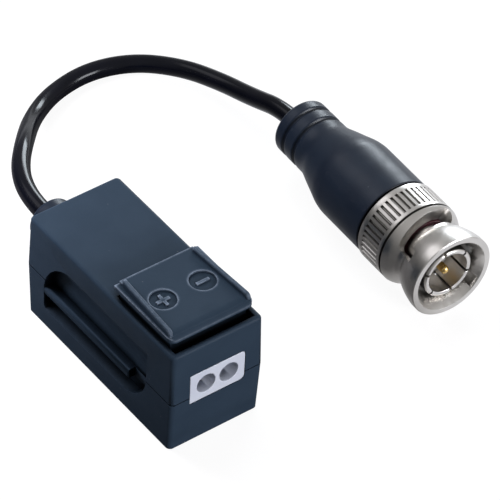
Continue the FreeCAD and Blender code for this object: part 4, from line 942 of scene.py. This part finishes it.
# Pieces cut softer than the solids they stand for
KNIT_GAP = 0.002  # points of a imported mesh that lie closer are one, in millimetres
FLAT_TURN = 0.5  # facets that turn less are one face, in degrees
SHARP_TURN = 32.0  # edges that turn more stay sharp on a softened piece, in degrees
TURNED_SHARP_TURN = 40.0  # the same on a turned piece
FACE_WEIGHT = 100  # how far large faces set the normals at a rounded edge, of 100


@dataclass(frozen=True)
class Round:
    """Outer edges of one piece that are rounded over together.

    Fields:
        radius: How far the rounding reaches from the edge, in millimetres.
        spots: Low and high corners of the boxes that the edges lie in, in millimetres, with X taken as its
            distance from the middle plane. None stands for the whole piece.
        turn: The least angle between the faces of such an edge, in degrees.
        steps: How many faces the rounding has.
        curve: Its form, with 0.5 for a circle.
    """

    radius: float
    spots: tuple[tuple[Point, Point], ...] | None = None
    turn: float = 35.0
    steps: int = 3
    curve: float = 0.5

    def holds(self, vertex: bmesh.types.BMVert, low: Point, high: Point) -> bool:
        """Whether a vertex lies in the box from its low corner to its high one."""
        place = (abs(vertex.co.x) / MM, vertex.co.y / MM, vertex.co.z / MM)
        return all(a <= v <= b for a, v, b in zip(low, place, high))

    def takes(self, edge: bmesh.types.BMEdge) -> bool:
        """Whether an edge is rounded over.

        Args:
            edge: An edge of the knit mesh.

        Returns:
            True for a sharp outer edge in one of the boxes.
        """
        if not edge.is_manifold or edge.calc_face_angle_signed() < math.radians(self.turn):
            return False
        if self.spots is None:
            return True
        return any(all(self.holds(vertex, low, high) for vertex in edge.verts) for low, high in self.spots)


@dataclass(frozen=True)
class SoftPiece:
    """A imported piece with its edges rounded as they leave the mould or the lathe.

    Fields:
        node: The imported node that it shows.
        slot: Its finish.
        rounds: The edges to round.
        body: What it rides on.
    """

    node: str
    slot: Slot
    rounds: tuple[Round, ...]
    body: Body = Body.HOUSING

    def shape(self) -> bpy.types.Mesh:
        """Copy the node's mesh, knit it and round its edges.

        Returns:
            The new mesh.
        """
        knit = bmesh.new()
        knit.from_mesh(frame["nodes"][self.node].data)
        bmesh.ops.remove_doubles(knit, verts=knit.verts, dist=KNIT_GAP * MM)
        bmesh.ops.dissolve_limit(
            knit, angle_limit=math.radians(FLAT_TURN), verts=knit.verts, edges=knit.edges
        )
        for rounding in self.rounds:
            chosen = [edge for edge in knit.edges if rounding.takes(edge)]
            bmesh.ops.bevel(
                knit, geom=chosen, offset=rounding.radius * MM, offset_type="OFFSET", affect="EDGES",
                segments=rounding.steps, profile=rounding.curve, clamp_overlap=True,
            )
            LOG.info("%s: %d edges rounded by %.2f mm", self.node, len(chosen), rounding.radius)
        loose = sum(not edge.is_manifold for edge in knit.edges)
        mesh = bpy.data.meshes.new(f"{self.node}_softened")
        knit.to_mesh(mesh)
        knit.free()
        mesh.shade_smooth()
        mesh.set_sharp_from_angle(angle=math.radians(SHARP_TURN))
        LOG.info("%s: %d faces, %d open edges", self.node, len(mesh.polygons), loose)
        return mesh

    def build(self, wardrobe: Wardrobe) -> bpy.types.Object:
        """Make the piece and let it stand for its node.

        Args:
            wardrobe: The finishes.

        Returns:
            The new piece.
        """
        piece = add_object(f"{self.node}_softened", self.shape())
        level = piece.modifiers.new("level_faces", "WEIGHTED_NORMAL")
        level.keep_sharp = True
        level.weight = FACE_WEIGHT
        wardrobe.wear(piece, self.slot)
        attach(piece, self.body.value)
        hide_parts(self.node)
        return piece


# Where the softened edges lie: recesses in both sides, the roof's opening, the lever's top, the block's face
COVER_RECESS = (((7.9, -12.4, 9.5), (8.3, 14.3, 15.6)),)
ROOF_OPENING = (((0.0, -17.5, 18.7), (7.2, -2.9, 18.9)),)
BASE_RECESS = (
    ((7.9, -12.4, 3.2), (8.3, -9.0, 9.4)),
    ((7.9, -9.8, 3.2), (8.3, 14.3, 5.2)),
    ((7.9, 13.8, 4.2), (8.3, 14.3, 6.25)),
    ((7.9, 13.8, 7.85), (8.3, 14.3, 9.4)),
)
LEVER_TOP = (((0.0, -17.0, 20.1), (8.0, -2.6, 23.0)),)
BLOCK_FACE = (((0.0, -18.7, 0.0), (9.0, -18.4, 20.0)),)
SOFT_PIECES = (
    SoftPiece("housing_cover", Slot.HOUSING, (Round(0.45, COVER_RECESS), Round(0.15, ROOF_OPENING))),
    SoftPiece("housing_base", Slot.HOUSING, (Round(0.45, BASE_RECESS),)),
    SoftPiece("press_lever", Slot.HOUSING, (Round(0.1, LEVER_TOP),), Body.LEVER),
    SoftPiece("terminal_block", Slot.TERMINAL, (Round(0.12, BLOCK_FACE),)),
    SoftPiece("cable_gland", Slot.BOOT, (Round(0.2),)),
    SoftPiece("coupling_nut", Slot.NICKEL, (Round(0.06),), Body.NUT),
    SoftPiece("plug_body", Slot.NICKEL, (Round(0.05),)),
    SoftPiece("sealing_gasket", Slot.GASKET, (Round(0.1),)),
    SoftPiece("insulator", Slot.INSULATOR, (Round(0.08),)),
    SoftPiece("centre_contact", Slot.GILT, (Round(0.06),)),
)


@dataclass(frozen=True)
class PressedStrip:
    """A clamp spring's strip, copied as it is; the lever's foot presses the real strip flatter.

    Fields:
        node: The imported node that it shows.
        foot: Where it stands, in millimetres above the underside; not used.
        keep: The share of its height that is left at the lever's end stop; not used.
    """

    node: str
    foot: float = 8.7
    keep: float = 0.89

    def build(self, wardrobe: Wardrobe) -> None:
        """Copy the strip as it is and put it on the housing.

        Args:
            wardrobe: The finishes.
        """
        piece = add_object(f"{self.node}_strip", frame["nodes"][self.node].data.copy())
        wardrobe.wear(piece, Slot.SPRING)
        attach(piece, Body.HOUSING.value)
        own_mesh(piece)
        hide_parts(self.node)


@dataclass(frozen=True)
class Boot:
    """The boot's skin, turned about the plug's axis.

    The outside is the drawn outline averaged over a short length, so that barrel, flare and neck run into
    each other. Two ring grooves are pressed into the neck: each takes away its depth times a flat-topped
    bell, which is e to the power of minus u to the fourth, with u the distance from its middle over its half
    width. Both ends close in with a quarter circle. The bores are those of the solid.

    Fields:
        start, end: Where it begins and ends behind the plug's front.
        outline: Radius and distance behind the plug's front.
        bore: The same for the stepped hole, from the rear to the front.
        grooves: Where the middles of the ring grooves are.
        groove_depth, groove_half: Their depth and half their width.
        front_round, rear_round: The radii of its end edges.
        blend: The length over which the outline is averaged.
        samples: How many points of the outline that takes.
        step: The length of one row of faces.
        end_rows: How many rows of points an end edge has.
        around: Steps in a full turn.
    """

    start: float = 14.8
    end: float = 40.3
    outline: tuple[tuple[float, float], ...] = (
        (7.05, 10.0), (7.05, 25.4), (6.8, 26.9), (6.38, 28.2), (5.5, 31.15), (5.15, 32.1), (4.92, 33.07),
        (4.9, 44.0),
    )
    bore: tuple[tuple[float, float], ...] = (
        (1.5, 40.3), (1.5, 23.0), (2.9, 23.0), (2.9, 15.5), (3.6, 15.5), (3.6, 14.8),
    )
    grooves: tuple[float, float] = (35.1, 37.85)
    groove_depth: float = 0.42
    groove_half: float = 0.36
    front_round: float = 0.25
    rear_round: float = 0.7
    blend: float = 2.2
    samples: int = 41
    step: float = 0.1
    end_rows: int = 9
    around: int = 128

    def radius(self, s: np.ndarray) -> np.ndarray:
        """Work out the outside radius.

        The average is weighted by a squared cosine, which is one in the middle of its length and zero at its
        ends. At an end edge rounded by q, the radius loses q and gains the root of q squared minus v squared,
        where v is how much nearer than q a point lies to the end.

        Args:
            s: Distances behind the plug's front, in millimetres.

        Returns:
            The radii there, in millimetres.
        """
        radii, places = np.array(self.outline).T
        steps = np.linspace(-0.5, 0.5, self.samples)
        weights = np.cos(np.pi * steps) ** 2
        drawn = np.interp(s[:, None] + self.blend * steps, places, radii)
        r = drawn @ weights / weights.sum()
        for middle in self.grooves:
            r = r - self.groove_depth * np.exp(-(((s - middle) / self.groove_half) ** 4))
        for edge, inwards in ((self.start, self.front_round), (self.end, self.rear_round)):
            short = np.clip(inwards - np.abs(s - edge), 0.0, inwards)
            r = r - inwards + np.sqrt(inwards**2 - short**2)
        return r

    def build(self, wardrobe: Wardrobe, plug: PlugFrame) -> bpy.types.Object:
        """Make the boot's skin as one closed surface.

        Args:
            wardrobe: The finishes.
            plug: The plug's axis.

        Returns:
            The new piece.
        """
        steps = (1.0 - np.cos(np.linspace(0.0, np.pi, self.end_rows))) / 2.0
        front = self.start + self.front_round * steps
        rear = self.end - self.rear_round * steps[::-1]
        between = np.arange(front[-1] + self.step, rear[0] - self.step / 2, self.step)
        s = np.concatenate((front, between, rear))
        loop = np.concatenate((np.stack((self.radius(s), s), 1), np.array(self.bore)))
        return turned_piece("boot_skin", loop, self.around, plug, wardrobe, Slot.BOOT, "boot")


def turned_piece(
    name: str, loop: np.ndarray, around: int, plug: PlugFrame, wardrobe: Wardrobe, slot: Slot, node: str
) -> bpy.types.Object:
    """Turn a closed outline about the plug's axis.

    A point of the outline with radius r and distance s goes round as (r cos t, s, r sin t), with t from 0 to
    a full turn.

    Args:
        name: The piece's name.
        loop: Radius and distance behind the plug's front, in millimetres, once round the section.
        around: Steps in a full turn.
        plug: The plug's axis.
        wardrobe: The finishes.
        slot: The piece's finish.
        node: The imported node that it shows.

    Returns:
        The new object.
    """
    t = np.arange(around) * (2.0 * np.pi / around)
    r, s = loop[:, 0:1] * MM, loop[:, 1:2] * MM
    grid = np.stack((r * np.cos(t), s + 0.0 * t, r * np.sin(t)), -1)
    rows = len(loop)
    i, j = (v.ravel() for v in np.meshgrid(np.arange(rows), np.arange(around), indexing="ij"))
    below, beside = (i + 1) % rows, (j + 1) % around
    quads = np.stack((i * around + j, i * around + beside, below * around + beside, below * around + j), 1)
    mesh = bpy.data.meshes.new(name)
    mesh.from_pydata(plug.place(grid.reshape(-1, 3)).tolist(), [], quads.tolist())
    knit = bmesh.new()
    knit.from_mesh(mesh)
    bmesh.ops.recalc_face_normals(knit, faces=knit.faces)
    knit.to_mesh(mesh)
    knit.free()
    mesh.shade_smooth()
    mesh.set_sharp_from_angle(angle=math.radians(TURNED_SHARP_TURN))
    piece = add_object(name, mesh)
    wardrobe.wear(piece, slot)
    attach(piece, Body.HOUSING.value)
    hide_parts(node)
    LOG.info("%s: %d faces", name, len(mesh.polygons))
    return piece


@dataclass
class Lead:
    """The coaxial lead, from the gland's face to the boot's face.

    Fields:
        route: The control points of its line, in millimetres.
        diameter: Over the jacket, in millimetres.
        length: The length that it was cut to, in millimetres; not used.
        quarter_steps: How finely its round section is cut.
        span_steps: How finely each span of its line is cut.
    """

    route: tuple[Point, ...] = (
        (0.0, 24.85, 9.45),
        (0.0, 28.3, 9.45),
        (0.95, 32.8, 9.4),
        (3.15, 37.0, 9.1),
        (7.5, 42.2, 7.9),
        (15.0, 50.95, 2.6),
        (21.7, 55.1, 1.6),
        (29.5, 56.2, 1.7),
        (36.8, 53.7, 1.9),
        (42.2, 48.0, 2.2),
        (44.6, 40.8, 3.2),
        (45.35, 33.7, 4.8),
        (45.99, 26.4, 7.25),
        (45.765, 20.819, 7.25),
    )
    diameter: float = 3.0
    length: float = 91.3
    quarter_steps: int = 8
    span_steps: int = 24

    def build(self, wardrobe: Wardrobe, shown: dict[str, bpy.types.Object]) -> None:
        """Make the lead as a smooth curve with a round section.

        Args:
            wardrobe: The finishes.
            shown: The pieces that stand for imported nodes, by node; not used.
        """
        curve = bpy.data.curves.new("lead", "CURVE")
        curve.dimensions = "3D"
        curve.bevel_depth = self.diameter / 2 * MM
        curve.bevel_resolution = self.quarter_steps
        curve.resolution_u = self.span_steps
        curve.use_fill_caps = True
        spline = curve.splines.new("NURBS")
        spline.points.add(len(self.route) - 1)
        for point, spot in zip(spline.points, self.route):
            point.co = (*(v * MM for v in spot), 1.0)
        spline.order_u = 3
        spline.use_endpoint_u = True
        lead = add_object("lead", curve)
        wardrobe.wear(lead, Slot.CABLE)
        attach(lead, Body.HOUSING.value)
        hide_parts("coax_cable")


def main() -> None:
    """Build the scene in order and report each piece."""
    logging.basicConfig(level=logging.INFO, format="%(name)s: %(message)s")
    CameraRig().build()
    wardrobe = Wardrobe()
    wardrobe.make()
    wardrobe.dress_cad_nodes()
    shown = {piece.node: piece.build(wardrobe) for piece in SOFT_PIECES}
    for side in ("left", "right"):
        PressedStrip(f"clamp_spring_{side}").build(wardrobe)
    shown["boot"] = Boot().build(wardrobe, PlugFrame.read())
    Lead().build(wardrobe, shown)
    Stage().build()


if __name__ == "__main__":
    main()
